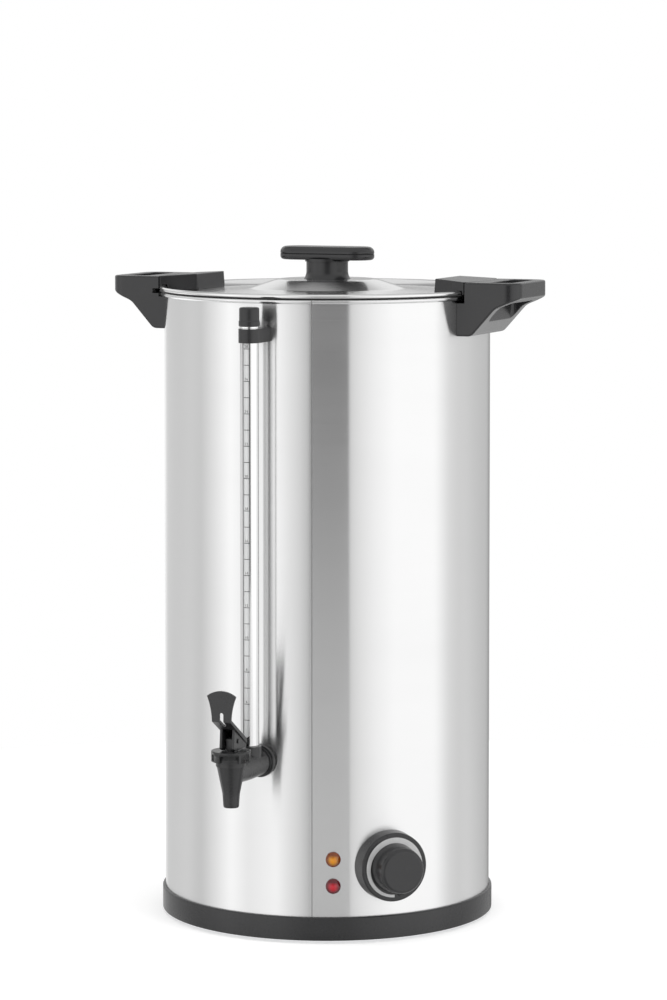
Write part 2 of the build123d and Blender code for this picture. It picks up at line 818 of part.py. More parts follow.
def make_knob_screw():
    """Cross-head screw from below the lid up into the grip's boss."""
    head_z = plateau_z - lid_thickness - knob_washer_thickness
    with BuildPart() as knob_screw:
        with BuildSketch(Plane.XY.offset(head_z)):
            Circle(knob_screw_radius)
        extrude(amount=grip_z + screw_boss_wall - head_z)
        with BuildSketch(Plane.XY.offset(head_z)):
            Circle(2 * knob_screw_radius)
        extrude(amount=-screw_head_height, taper=15)
        with BuildSketch(Plane.XY.offset(head_z - screw_head_height)):
            Rectangle(4.0, 0.8)
            Rectangle(0.8, 4.0)
        extrude(amount=1.2, mode=Mode.SUBTRACT)
    return knob_screw


# ------------------------------------------------------------------ tap


def make_tap_body():
    """Moulded tap: threaded shank, flange, arm, gauge socket and tapered spout in one piece."""
    shank_in = inner_radius - shank_length
    flange_in = vessel_radius + gasket_thickness + seat_gap
    flange_out = flange_in + tap_flange_thickness
    arm_in = flange_out + tap_step_length
    seat_z = tap_z - chamber_drop
    ledge_z = socket_z - gauge_socket_seat - gauge_seal_height
    with BuildPart() as tap_body:
        with BuildSketch(lathe_plane(0, tap_z)):
            Polygon(
                (0, shank_in),
                (shank_radius - 1.0, shank_in),
                (shank_radius, shank_in + 1.0),
                (shank_radius, flange_in),
                (tap_flange_radius, flange_in),
                (tap_flange_radius, flange_out - 0.8),
                (tap_flange_radius - 0.8, flange_out),
                (tap_step_radius, flange_out),
                (tap_step_radius, arm_in),
                (tap_arm_radius, arm_in),
                (tap_arm_radius, vessel_radius + gauge_reach + arm_taper_start),
                (tap_neck_radius, vessel_radius + tap_reach - arm_taper_end),
                (tap_neck_radius, vessel_radius + tap_reach),
                (0, vessel_radius + tap_reach),
                align=None,
            )
        revolve(axis=radial_axis(0, tap_z))
        with BuildSketch(Plane.XY.offset(tap_z)):
            with Locations((0, gauge_y)):
                Circle(gauge_socket_radius)
        extrude(amount=gauge_socket_rise)
        with BuildSketch(spout_plane()):
            Polygon(
                (0, spout_z),
                (spout_tip_radius - 0.5, spout_z),
                (spout_tip_radius, spout_z + 0.8),
                (spout_tip_radius + spout_tip_taper, spout_z + spout_tip_length),
                (spout_cone_radius, tap_z + spout_cone_rise),
                (tap_collar_radius, tap_z + spout_cone_rise),
                (tap_collar_radius, collar_z),
                (0, collar_z),
                align=None,
            )
        revolve(axis=Axis((0, spout_y, 0), (0, 0, 1)))
        with BuildSketch(Plane.XY.offset(bonnet_z - bonnet_skirt_height - seat_gap)):
            with Locations((0, spout_y)):
                Circle(bonnet_radius + body_gap)
                Circle(tap_collar_radius, mode=Mode.SUBTRACT)
        extrude(amount=bonnet_skirt_height, mode=Mode.SUBTRACT)
        with BuildSketch(wall_plane(0, tap_z, shank_in - 1.0)):
            Circle(tap_bore_radius)
        extrude(amount=vessel_radius + tap_reach - chamber_radius / 2 - shank_in, mode=Mode.SUBTRACT)
        with BuildSketch(Plane.XY.offset(seat_z)):
            with Locations((0, spout_y)):
                Circle(chamber_radius)
        extrude(amount=collar_z - seat_z + 1.0, mode=Mode.SUBTRACT)
        with BuildSketch(Plane.XY.offset(spout_z - 1.0)):
            with Locations((0, spout_y)):
                Circle(tap_bore_radius)
        extrude(amount=seat_z - spout_z + 2.0, mode=Mode.SUBTRACT)
        with BuildSketch(Plane.XY.offset(tap_z)):
            with Locations((0, gauge_y)):
                Circle(tap_bore_radius)
        extrude(amount=gauge_socket_rise + 1.0, mode=Mode.SUBTRACT)
        with BuildSketch(Plane.XY.offset(ledge_z)):
            with Locations((0, gauge_y)):
                Circle(guard_radius - 0.15)
        extrude(amount=gauge_socket_rise, mode=Mode.SUBTRACT)
        with BuildSketch(Plane.XY.offset(socket_z - gauge_socket_seat)):
            with Locations((0, gauge_y)):
                Circle(guard_radius + seat_gap)
        extrude(amount=gauge_socket_seat + 1.0, mode=Mode.SUBTRACT)
    return tap_body


def make_tap_gasket():
    """Rubber gasket between the wall and the tap's flange, curved to the wall at its back."""
    with BuildPart() as tap_gasket:
        with BuildSketch(lathe_plane(0, tap_z)):
            Polygon(
                (shank_radius + seat_gap, vessel_radius - 4.0),
                (tap_flange_radius - 0.6, vessel_radius - 4.0),
                (tap_flange_radius - 0.6, vessel_radius + gasket_thickness),
                (shank_radius + seat_gap, vessel_radius + gasket_thickness),
                align=None,
            )
        revolve(axis=radial_axis(0, tap_z))
        with BuildSketch(Plane.XY):
            Circle(vessel_radius + seat_gap)
        extrude(amount=rim_z, mode=Mode.SUBTRACT)
    return tap_gasket


def make_tap_inner_gasket():
    """Rubber gasket between the wall and the tap's nut, curved to the wall at its front."""
    back = inner_radius - inner_gasket_thickness
    outer = tap_nut_across / 2 + inner_gasket_margin
    with BuildPart() as inner_gasket:
        with BuildSketch(lathe_plane(0, tap_z)):
            Polygon(
                (shank_radius + seat_gap, back),
                (outer, back),
                (outer, inner_radius + 2.0),
                (shank_radius + seat_gap, inner_radius + 2.0),
                align=None,
            )
        revolve(axis=radial_axis(0, tap_z))
        with BuildSketch(Plane.XY):
            Circle(inner_radius - seat_gap)
        extrude(amount=rim_z, mode=Mode.INTERSECT)
    return inner_gasket


def make_tap_nut():
    """Hexagon nut on the shank inside the vessel."""
    face = inner_radius - inner_gasket_thickness - seat_gap
    with BuildPart() as tap_nut:
        with BuildSketch(wall_plane(0, tap_z, face)):
            RegularPolygon(tap_nut_across / 2, 6, major_radius=False)
            Circle(shank_radius + seat_gap, mode=Mode.SUBTRACT)
        extrude(amount=-tap_nut_thickness)
    return tap_nut


def make_tap_bonnet():
    """Cap on the tap's collar: skirt, three windowed ears and the hole that guides the stem."""
    skirt_z = bonnet_z - bonnet_skirt_height
    skirt_in = tap_collar_radius + seat_gap
    arc = 0.55
    with BuildPart() as tap_bonnet:
        with BuildSketch(Plane.XY.offset(skirt_z)):
            with Locations((0, spout_y)):
                Circle(bonnet_skirt_radius)
        extrude(amount=bonnet_skirt_height)
        with BuildSketch(Plane.XY.offset(bonnet_z - bonnet_plate)):
            with Locations((0, spout_y)):
                Circle(bonnet_radius)
        extrude(amount=bonnet_plate)
        top_edge = tap_bonnet.edges().filter_by(GeomType.CIRCLE).group_by(Axis.Z)[-1]
        fillet(top_edge, radius=0.8)
        for ear in range(bonnet_window_count):
            azimuth = bonnet_window_azimuth + ear * 360 / bonnet_window_count
            middle = radians(azimuth)
            reach = 2 * bonnet_radius
            with BuildSketch(Plane.XY.offset(skirt_z + 0.8)):
                with Locations((0, spout_y)):
                    Circle(bonnet_radius)
                Polygon(
                    (0, spout_y),
                    (reach * sin(middle - arc), spout_y - reach * cos(middle - arc)),
                    (reach * sin(middle + arc), spout_y - reach * cos(middle + arc)),
                    align=None,
                    mode=Mode.INTERSECT,
                )
            extrude(amount=bonnet_skirt_height - bonnet_plate - 0.8 + 0.5)
        with BuildSketch(Plane.XY.offset(skirt_z - 1.0)):
            with Locations((0, spout_y)):
                Circle(skirt_in)
        extrude(amount=bonnet_skirt_height - bonnet_plate + 1.0, mode=Mode.SUBTRACT)
        for ear in range(bonnet_window_count):
            azimuth = bonnet_window_azimuth + ear * 360 / bonnet_window_count
            out = radial(azimuth)
            center = Vector(0, spout_y, skirt_z + 0.5 * bonnet_skirt_height)
            window = Plane(origin=center, x_dir=tangent(azimuth), z_dir=out)
            with BuildSketch(window.offset(bonnet_skirt_radius - 0.4)):
                Rectangle(bonnet_window_width, bonnet_window_height)
            extrude(amount=bonnet_radius, mode=Mode.SUBTRACT)
        with BuildSketch(Plane.XY.offset(bonnet_z - 2 * bonnet_plate)):
            with Locations((0, spout_y)):
                Circle(tap_stem_radius + running_fit)
        extrude(amount=3 * bonnet_plate, mode=Mode.SUBTRACT)
    return tap_bonnet


def seat_cup_top():
    """Height of the seat cup's upper face."""
    return tap_z - chamber_drop + seat_cup_height


def make_seat_cup():
    """Silicone cup that closes the spout's bore, with a socket for the stem's foot."""
    seat_z = tap_z - chamber_drop
    cup_radius = chamber_radius - seat_cup_play
    with BuildPart() as seat_cup:
        with BuildSketch(spout_plane()):
            Polygon(
                (0, seat_z),
                (tap_bore_radius + 1.0, seat_z),
                (cup_radius, seat_z + seat_cup_wall),
                (cup_radius, seat_cup_top()),
                (tap_stem_radius + seat_gap, seat_cup_top()),
                (tap_stem_radius + seat_gap, seat_z + 2 * seat_cup_wall),
                (0, seat_z + 2 * seat_cup_wall),
                align=None,
            )
        revolve(axis=Axis((0, spout_y, 0), (0, 0, 1)))
    return seat_cup


def make_tap_stem():
    """Stem with a foot in the seat cup, a flange under the spring and a flattened head."""
    foot_z = tap_z - chamber_drop + 2 * seat_cup_wall + seat_gap
    flange_z = seat_cup_top() + seat_gap
    head_top_z = pin_z + stem_head_rise
    with BuildPart() as tap_stem:
        with BuildSketch(Plane.XY.offset(foot_z)):
            with Locations((0, spout_y)):
                Circle(tap_stem_radius)
        extrude(amount=bonnet_z + body_gap + 1.0 - foot_z)
        with BuildSketch(Plane.XY.offset(flange_z)):
            with Locations((0, spout_y)):
                Circle(spring_radius + stem_flange_width)
        extrude(amount=stem_flange_thickness)
        with BuildSketch(Plane.XY.offset(bonnet_z + body_gap + 0.6)):
            with Locations((0, spout_y)):
                RectangleRounded(stem_head_width, 2 * tap_stem_radius, radius=1.0)
        extrude(amount=head_top_z - bonnet_z - body_gap - 0.6)
        fillet(tap_stem.edges().group_by(Axis.Z)[-1].filter_by(Axis.X), radius=1.5)
        with BuildSketch(side_plane()):
            with Locations((spout_y, pin_z)):
                Circle(pin_radius + running_fit)
        extrude(amount=10.0, both=True, mode=Mode.SUBTRACT)
    return tap_stem


def spring_low_z():
    """Height of the stem's flange, on which the spring stands."""
    return seat_cup_top() + seat_gap + stem_flange_thickness


def make_tap_spring():
    """Coil spring that holds the stem down, between its flange and the bonnet."""
    low_z = spring_low_z() + spring_wire + seat_gap
    high_z = bonnet_z - bonnet_plate - spring_wire - seat_gap
    coil = Helix(
        pitch=(high_z - low_z) / spring_turns,
        height=high_z - low_z,
        radius=spring_radius,
        center=(0, spout_y, low_z),
    )
    with BuildPart() as tap_spring:
        with BuildSketch(Plane(origin=coil @ 0, z_dir=coil % 0)):
            Circle(spring_wire)
        sweep(path=coil, is_frenet=True)
    return tap_spring


# ------------------------------------------------------------------ tap lever


def cam_point(angle):
    """Point of the heel that rests on the bonnet when the lever has turned by an angle."""
    reach = pin_rise + cam_lift_rate * radians(angle)
    y = spout_y - reach * sin(radians(angle)) - cam_lift_rate * cos(radians(angle))
    z = pin_z - reach * cos(radians(angle)) + cam_lift_rate * sin(radians(angle))
    return (y, z)


def make_tap_lever():
    """Paddle and web in one piece with a fork, whose heel is a spiral cam about the pin."""
    front = spout_y - paddle_offset
    back = spout_y + fork_back
    waist_z = pin_z + waist_rise
    top_z = pin_z + paddle_top_rise
    corner_z = top_z - fan_arc_height
    heel_z = pin_z - pin_rise
    web_back_z = heel_z + web_back_rise
    web_drop = 1.2 * web_thickness
    half_fork = fork_gap / 2
    half_width = half_fork + fork_plate
    cam = [cam_point(cam_swing * step / 6) for step in range(7)]
    with BuildPart() as tap_lever:
        with BuildSketch(side_plane()):
            Polygon(
                (front - paddle_thickness / 2, top_z),
                (front - paddle_thickness / 2, waist_z - 1.5),
                (back, web_back_z - web_drop),
                (back, web_back_z),
                (front + paddle_thickness / 2, waist_z),
                (front + paddle_thickness / 2, top_z),
                align=None,
            )
        extrude(amount=paddle_half_width, both=True)
        with BuildSketch(Plane.XZ.offset(-spout_y)):
            with BuildLine():
                right_flare = ThreePointArc(
                    (waist_half_width, waist_z),
                    (0.72 * waist_half_width + 0.28 * paddle_half_width, (waist_z + corner_z) / 2),
                    (paddle_half_width, corner_z),
                )
                ThreePointArc(right_flare @ 1, (0, top_z), (-paddle_half_width, corner_z))
                left_flare = ThreePointArc(
                    (-waist_half_width, waist_z),
                    (-0.72 * waist_half_width - 0.28 * paddle_half_width, (waist_z + corner_z) / 2),
                    (-paddle_half_width, corner_z),
                )
                Polyline(
                    left_flare @ 0,
                    (-half_width - 0.6, heel_z),
                    (half_width + 0.6, heel_z),
                    right_flare @ 0,
                )
            make_face()
        extrude(amount=3 * paddle_offset, both=True, mode=Mode.INTERSECT)
        for side in (half_fork, -half_width):
            with BuildSketch(side_plane().offset(side)):
                with BuildLine():
                    heel = Spline(*cam)
                    Polyline(
                        heel @ 1,
                        (spout_y - cam_lift_rate - 4.2, web_back_z - web_drop / 2 + 0.6 * (fork_back + 7.8)),
                        (back, web_back_z - web_drop / 2),
                        (back, heel_z + fork_back_rise),
                        heel @ 0,
                    )
                make_face()
            extrude(amount=fork_plate)
        with BuildSketch(Plane.XZ.offset(-spout_y)):
            with Locations((0, waist_z)):
                SlotOverall(paddle_slot_height, paddle_slot_width, rotation=90)
        extrude(amount=3 * paddle_offset, both=True, mode=Mode.SUBTRACT)
        with BuildSketch(side_plane()):
            with Locations((spout_y, pin_z)):
                Circle(pin_radius + running_fit)
        extrude(amount=2 * half_width, both=True, mode=Mode.SUBTRACT)
    return tap_lever


def make_lever_pin():
    """Hinge pin through the fork and the stem's head, with a rolled end on each side."""
    half = fork_gap / 2 + fork_plate
    with BuildPart() as lever_pin:
        with BuildSketch(side_plane()):
            with Locations((spout_y, pin_z)):
                Circle(pin_radius)
        extrude(amount=half + 0.3, both=True)
        for side in (half + 0.3, -half - 0.9):
            with BuildSketch(side_plane().offset(side)):
                with Locations((spout_y, pin_z)):
                    Circle(pin_radius + 0.6)
            extrude(amount=0.6)
    return lever_pin


# ------------------------------------------------------------------ sight gauge


def make_gauge_tube():
    """Clear tube from the ledge in the tap's socket up into the cap."""
    low_z = socket_z - gauge_socket_seat - gauge_seal_height + seat_gap
    with BuildPart() as gauge_tube:
        with BuildSketch(Plane.XY.offset(low_z)):
            with Locations((0, gauge_y)):
                Circle(gauge_glass_radius)
                Circle(gauge_glass_radius - gauge_glass_wall, mode=Mode.SUBTRACT)
        extrude(amount=cap_z + 0.5 * gauge_cap_height - low_z)
    return gauge_tube


def make_gauge_guard():
    """Steel tube around the clear one, open along its front in a long round-ended slot."""
    low_z = socket_z - gauge_socket_seat + seat_gap
    slot_z = tap_z + guard_slot_start
    slot_top_z = rim_z - gauge_clip_drop
    with BuildPart() as gauge_guard:
        with BuildSketch(Plane.XY.offset(low_z)):
            with Locations((0, gauge_y)):
                Circle(guard_radius)
                Circle(guard_radius - guard_wall, mode=Mode.SUBTRACT)
        extrude(amount=guard_top_z - low_z)
        with BuildSketch(Plane.XZ.offset(-gauge_y)):
            with Locations((0, (slot_z + slot_top_z) / 2)):
                SlotOverall(slot_top_z - slot_z, guard_slot_width, rotation=90)
        extrude(amount=2 * guard_radius, mode=Mode.SUBTRACT)
    return gauge_guard


def make_gauge_seal():
    """Rubber sleeve that seals the clear tube in the tap's socket."""
    low_z = socket_z - gauge_socket_seat - gauge_seal_height + seat_gap
    with BuildPart() as gauge_seal:
        with BuildSketch(Plane.XY.offset(low_z)):
            with Locations((0, gauge_y)):
                Circle(guard_radius - 0.15 - seat_gap)
                Circle(gauge_glass_radius + seat_gap, mode=Mode.SUBTRACT)
        extrude(amount=gauge_seal_height - seat_gap)
    return gauge_seal


def make_gauge_ring():
    """Bright washer between the guard and the cap."""
    with BuildPart() as gauge_ring:
        with BuildSketch(Plane.XY.offset(guard_top_z)):
            with Locations((0, gauge_y)):
                Circle(guard_radius + 0.5)
                Circle(gauge_glass_radius + seat_gap, mode=Mode.SUBTRACT)
        extrude(amount=gauge_ring_height)
    return gauge_ring


def make_gauge_cap():
    """Cap on the tube's upper end, with a finger band, a rounded top and a vent."""
    top_z = cap_z + gauge_cap_height
    band_z = cap_z + 0.27 * gauge_cap_height
    bore_top_z = cap_z + 0.6 * gauge_cap_height
    with BuildPart() as gauge_cap:
        with BuildSketch(Plane.XZ.offset(-gauge_y)):
            with BuildLine():
                Polyline(
                    (gauge_cap_radius - 2.5, top_z),
                    (1.0, top_z),
                    (1.0, bore_top_z),
                    (gauge_glass_radius + seat_gap, bore_top_z),
                    (gauge_glass_radius + seat_gap, cap_z),
                    (gauge_cap_radius - 0.5, cap_z),
                    (gauge_cap_radius, cap_z + 0.5),
                    (gauge_cap_radius, band_z),
                    (gauge_cap_radius - 0.5, band_z + 0.6),
                    (gauge_cap_radius - 0.5, top_z - 2.0),
                )
                RadiusArc((gauge_cap_radius - 0.5, top_z - 2.0), (gauge_cap_radius - 2.5, top_z), -2.0)
            make_face()
        revolve(axis=Axis((0, gauge_y, 0), (0, 0, 1)))
    return gauge_cap


def make_gauge_clip():
    """Block on the wall that holds the guard, with a threaded hole for its screw."""
    middle_z = rim_z - gauge_clip_drop
    half = gauge_clip_radius
    with BuildPart() as gauge_clip:
        with BuildSketch(Plane.XY.offset(middle_z - gauge_clip_height / 2)):
            with Locations((0, gauge_y)):
                Circle(half)
            Polygon(
                (-half, gauge_y),
                (half, gauge_y),
                (half, -0.8 * vessel_radius),
                (-half, -0.8 * vessel_radius),
                align=None,
            )
            Circle(vessel_radius + seat_gap, mode=Mode.SUBTRACT)
            with Locations((0, gauge_y)):
                Circle(guard_radius + seat_gap, mode=Mode.SUBTRACT)
        extrude(amount=gauge_clip_height)
        with BuildSketch(Plane.XZ):
            with Locations((0, middle_z)):
                Circle(clip_screw_radius + seat_gap)
        extrude(amount=vessel_radius + clip_screw_length, mode=Mode.SUBTRACT)
    return gauge_clip


def make_clip_screw():
    """Pan-head screw from inside the vessel into the gauge's clip."""
    head_y = inner_radius - 0.4
    with BuildPart() as clip_screw:
        with BuildSketch(Plane.XZ.offset(head_y)):
            with Locations((0, rim_z - gauge_clip_drop)):
                Circle(clip_screw_radius)
        extrude(amount=vessel_radius + clip_screw_length - 1.0 - head_y)
        with BuildSketch(Plane.XZ.offset(head_y)):
            with Locations((0, rim_z - gauge_clip_drop)):
                Circle(2 * clip_screw_radius)
        extrude(amount=-screw_head_height, taper=15)
    return clip_screw


# ------------------------------------------------------------------ thermostat and lamps


def make_bezel():
    """Round collar around the dial: hollow, with its back curved to the wall."""
    face = bezel_face
    back = vessel_radius - 10.0
    face_radius = bezel_radius - bezel_taper
    bore = dial_bushing_radius + seat_gap
    with BuildPart() as bezel:
        with BuildSketch(lathe_plane(dial_azimuth, dial_z)):
            Polygon(
                (bore, back),
                (bore + 3.0, back),
                (bore + 3.0, face - bezel_wall),
                (face_radius - bezel_wall, face - bezel_wall),
                (bezel_radius - bezel_wall, back),
                (bezel_radius, back),
                (face_radius, face - 1.0),
                (face_radius - 1.0, face),
                (bore, face),
                align=None,
            )
        revolve(axis=radial_axis(dial_azimuth, dial_z))
        with BuildSketch(Plane.XY):
            Circle(vessel_radius + seat_gap)
        extrude(amount=rim_z, mode=Mode.SUBTRACT)
    return bezel


def make_scale_arc():
    """Foil wedge around the dial that widens clockwise from six o'clock and ends in a point."""
    points = []
    for step in range(9):
        share = step / 8
        angle = radians(270 - arc_sweep * 0.86 * share)
        width = arc_width_start + (arc_width_end - arc_width_start) * share**1.4
        reach = arc_outer_radius - width
        points.append((reach * cos(angle), reach * sin(angle)))
    with BuildPart() as scale_arc:
        with BuildSketch(wall_plane(dial_azimuth, dial_z, bezel_face)):
            with BuildLine():
                outer = CenterArc((0, 0), arc_outer_radius, 270, -arc_sweep)
                inner = Spline(*points)
                Line(outer @ 0, inner @ 0)
                Line(outer @ 1, inner @ 1)
            make_face()
        extrude(amount=arc_thickness)
    return scale_arc


def make_dial_knob():
    """Hollow knob with a rounded front, a pointer rib and a hub for the shaft."""
    back = bezel_face + arc_thickness + body_gap
    front = back + dial_knob_height
    rim = dial_knob_radius
    nose = dial_knob_radius - dial_knob_taper
    bore = dial_shaft_radius + seat_gap
    hub = bore + 2.5
    hub_back = bezel_face + dial_bushing_proud + body_gap
    with BuildPart() as dial_knob:
        with BuildSketch(lathe_plane(dial_azimuth, dial_z)):
            with BuildLine():
                Polyline(
                    (nose - dial_knob_round, front),
                    (0, front),
                    (0, front - dial_knob_wall - dial_hub_depth),
                    (bore, front - dial_knob_wall - dial_hub_depth),
                    (bore, hub_back),
                    (hub, hub_back),
                    (hub, front - dial_knob_wall),
                    (nose - dial_knob_wall, front - dial_knob_wall),
                    (rim - dial_knob_wall, back),
                    (rim, back),
                    (nose, front - dial_knob_round),
                )
                RadiusArc((nose, front - dial_knob_round), (nose - dial_knob_round, front), -dial_knob_round)
            make_face()
        revolve(axis=radial_axis(dial_azimuth, dial_z))
        with BuildSketch(wall_plane(dial_azimuth, dial_z, back)):
            with Locations((0, -rim + 1.0)):
                Rectangle(3.0, 3.4)
        extrude(amount=dial_knob_height - dial_knob_round)
    return dial_knob


def make_dial_shaft():
    """The thermostat's shaft, with a flat, from the body to the knob."""
    start = inner_radius * cos(radians(8.0)) - thermostat_depth / 2
    knob_front = bezel_face + arc_thickness + body_gap + dial_knob_height
    end = knob_front - dial_knob_wall - dial_hub_depth - seat_gap
    with BuildPart() as dial_shaft:
        with BuildSketch(wall_plane(dial_azimuth, dial_z, start)):
            Circle(dial_shaft_radius)
        extrude(amount=end - start)
        with BuildSketch(wall_plane(dial_azimuth, dial_z, end - 9.0)):
            with Locations((0, 1.6 * dial_shaft_radius)):
                Rectangle(4 * dial_shaft_radius, 2 * dial_shaft_radius)
        extrude(amount=10.0, mode=Mode.SUBTRACT)
    return dial_shaft


def make_thermostat_body():
    """Capillary thermostat behind the wall: housing, threaded bushing and terminal tabs."""
    face = inner_radius * cos(radians(8.0)) - seat_gap
    with BuildPart() as thermostat_body:
        with BuildSketch(wall_plane(dial_azimuth, dial_z, face - thermostat_depth)):
            RectangleRounded(thermostat_width, thermostat_height, radius=3.0)
        extrude(amount=thermostat_depth)
        with BuildSketch(wall_plane(dial_azimuth, dial_z, face)):
            Circle(dial_bushing_radius)
        extrude(amount=bezel_face + dial_bushing_proud - face)
        with BuildSketch(wall_plane(dial_azimuth, dial_z, face - thermostat_depth / 2)):
            Circle(dial_shaft_radius + running_fit)
        extrude(amount=bezel_face + 2 * dial_bushing_proud - face + thermostat_depth / 2, mode=Mode.SUBTRACT)
        with BuildSketch(wall_plane(dial_azimuth, dial_z, face - thermostat_depth)):
            with Locations((-7.0, 8.0), (0.0, 8.0), (7.0, 8.0)):
                Rectangle(4.8, 0.8)
        extrude(amount=-8.0)
    return thermostat_body


def make_thermostat_nut():
    """Thin hexagon nut that clamps the bezel on the thermostat's bushing."""
    with BuildPart() as thermostat_nut:
        with BuildSketch(wall_plane(dial_azimuth, dial_z, bezel_face + seat_gap)):
            RegularPolygon(dial_nut_across / 2, 6, major_radius=False)
            Circle(dial_bushing_radius + seat_gap, mode=Mode.SUBTRACT)
        extrude(amount=dial_nut_thickness)
    return thermostat_nut


def make_lamp_lens(height):
    """Domed lens of an indicator lamp, with its back curved to the wall."""
    rim_y = vessel_radius + 1.4
    top_y = vessel_radius + lamp_lens_rise
    dome = top_y - rim_y
    dome_radius = (lamp_lens_radius**2 + dome**2) / (2 * dome)
    with BuildPart() as lamp_lens:
        with BuildSketch(lathe_plane(lamp_azimuth, height)):
            with BuildLine():
                Polyline(
                    (0, top_y),
                    (0, vessel_radius - 3.0),
                    (lamp_lens_radius, vessel_radius - 3.0),
                    (lamp_lens_radius, rim_y),
                )
                RadiusArc((lamp_lens_radius, rim_y), (0, top_y), -dome_radius)
            make_face()
        revolve(axis=radial_axis(lamp_azimuth, height))
        with BuildSketch(Plane.XY):
            Circle(vessel_radius + seat_gap)
        extrude(amount=rim_z, mode=Mode.SUBTRACT)
    return lamp_lens


def make_lamp_bodies():
    """Two lamp holders behind the wall, each with a collar and two tabs."""
    collar_y = sqrt(inner_radius**2 - lamp_lens_radius**2) - seat_gap
    start = inner_radius - lamp_body_length
    with BuildPart() as lamp_bodies:
        for height in (base_z + amber_lamp_height, base_z + red_lamp_height):
            with BuildSketch(wall_plane(lamp_azimuth, height, start)):
                Circle(lamp_body_radius)
            extrude(amount=vessel_radius - 0.2 - start)
            with BuildSketch(wall_plane(lamp_azimuth, height, collar_y)):
                Circle(lamp_lens_radius)
            extrude(amount=-2.5)
            with BuildSketch(wall_plane(lamp_azimuth, height, start)):
                with Locations((-2.2, 0), (2.2, 0)):
                    Rectangle(0.8, 4.0)
            extrude(amount=-7.0)
    return lamp_bodies


# ------------------------------------------------------------------ electrics in the base


def make_heater_plate():
    """Aluminium plate pressed to the tank's floor, which spreads the element's heat."""
    top_z = floor_z - floor_thickness
    with BuildPart() as heater_plate:
        with BuildSketch(Plane.XY.offset(top_z - heater_plate_thickness)):
            Circle(heater_plate_radius)
        extrude(amount=heater_plate_thickness)
        chamfer(heater_plate.edges().group_by(Axis.Z)[0], length=1.0)
    return heater_plate


def make_heating_element():
    """Tubular element: an open ring under the heater plate with two terminals turned down."""
    ring_z = floor_z - floor_thickness - heater_plate_thickness - element_tube_radius - seat_gap
    half_gap = radians(element_gap_angle / 2)
    ends = [
        (element_radius * cos(half_gap), element_radius * sin(half_gap)),
        (element_radius * cos(half_gap), -element_radius * sin(half_gap)),
    ]
    with BuildPart() as heating_element:
        with BuildSketch(Plane.XZ.rotated((0, 0, element_gap_angle / 2))):
            with Locations((element_radius, ring_z)):
                Circle(element_tube_radius)
        revolve(axis=Axis.Z, revolution_arc=360 - element_gap_angle)
        with BuildSketch(Plane.XY.offset(ring_z)):
            with Locations(*ends):
                Circle(element_tube_radius)
        extrude(amount=-terminal_length)
        with BuildSketch(Plane.XY.offset(ring_z - terminal_length)):
            with Locations(*ends):
                Circle(1.6)
        extrude(amount=-8.0)
    return heating_element


def make_boil_dry_cutout():
    """Bimetal cut-out under the middle of the heater plate, with its two tabs."""
    top_z = floor_z - floor_thickness - heater_plate_thickness - seat_gap
    with BuildPart() as boil_dry_cutout:
        with BuildSketch(Plane.XY.offset(top_z)):
            Circle(cutout_radius)
        extrude(amount=-0.6 * cutout_height)
        with BuildSketch(Plane.XY.offset(top_z)):
            Circle(0.75 * cutout_radius)
        extrude(amount=-cutout_height)
        with BuildSketch(Plane.XY.offset(top_z - cutout_height)):
            with Locations((-5.0, 0), (5.0, 0)):
                Rectangle(0.8, 6.3)
        extrude(amount=-8.0)
    return boil_dry_cutout


def make_terminal_block():
    """Block on the bottom plate where the mains wires are joined, with three wire ways."""
    with BuildPart() as terminal_block:
        with BuildSketch(Plane.XY.offset(plate_seat_z)):
            with Locations((0, block_offset)):
                RectangleRounded(block_length, block_width, radius=2.0)
        extrude(amount=block_height)
        with BuildSketch(Plane.XZ.offset(-block_offset)):
            for x in (-0.3 * block_length, 0.0, 0.3 * block_length):
                with Locations((x, plate_seat_z + 0.4 * block_height)):
                    Circle(0.2 * block_height)
        extrude(amount=block_width, both=True, mode=Mode.SUBTRACT)
        with BuildSketch(Plane.XY.offset(plate_seat_z + block_height)):
            for x in (-0.3 * block_length, 0.0, 0.3 * block_length):
                with Locations((x, block_offset - 4.0), (x, block_offset + 4.0)):
                    Circle(0.14 * block_height)
        extrude(amount=-0.3 * block_height, mode=Mode.SUBTRACT)
    return terminal_block


def make_cord_gland():
    """Moulded gland in the rear wall: flange, tapered nose, threaded neck and cord bore."""
    gland_z = base_z + gland_height
    out = vessel_radius + gland_reach
    start = inner_radius - gland_neck
    tight = vessel_radius + gland_bore_start
    with BuildPart() as cord_gland:
        with BuildSketch(lathe_plane(180, gland_z)):
            Polygon(
                (gland_clear_radius, start),
                (gland_radius, start),
                (gland_radius, vessel_radius - 5.0),
                (gland_flange_radius, vessel_radius - 5.0),
                (gland_flange_radius, vessel_radius + 3.0),
                (gland_flange_radius - 1.0, vessel_radius + 4.0),
                (gland_radius + 1.0, vessel_radius + 4.0),
                (0.8 * gland_radius, out),
                (gland_bore_radius, out),
                (gland_bore_radius, tight),
                (gland_clear_radius, tight),
                align=None,
            )
        revolve(axis=radial_axis(180, gland_z))
        with BuildSketch(Plane.XY):
            Circle(vessel_radius + seat_gap)
        extrude(amount=rim_z, mode=Mode.SUBTRACT)
        with BuildSketch(wall_plane(180, gland_z, start)):
            Circle(gland_radius)
            Circle(gland_clear_radius, mode=Mode.SUBTRACT)
        extrude(amount=tight - start)
    return cord_gland


def make_gland_nut():
    """Hexagon nut on the gland's neck inside the wall."""
    across = 2 * gland_radius + 6.0
    face = sqrt(inner_radius**2 - (0.6 * across) ** 2) - seat_gap
    with BuildPart() as gland_nut:
        with BuildSketch(wall_plane(180, base_z + gland_height, face)):
            RegularPolygon(across / 2, 6, major_radius=False)
            Circle(gland_radius + seat_gap, mode=Mode.SUBTRACT)
        extrude(amount=-4.0)
    return gland_nut


# ------------------------------------------------------------------ pieces


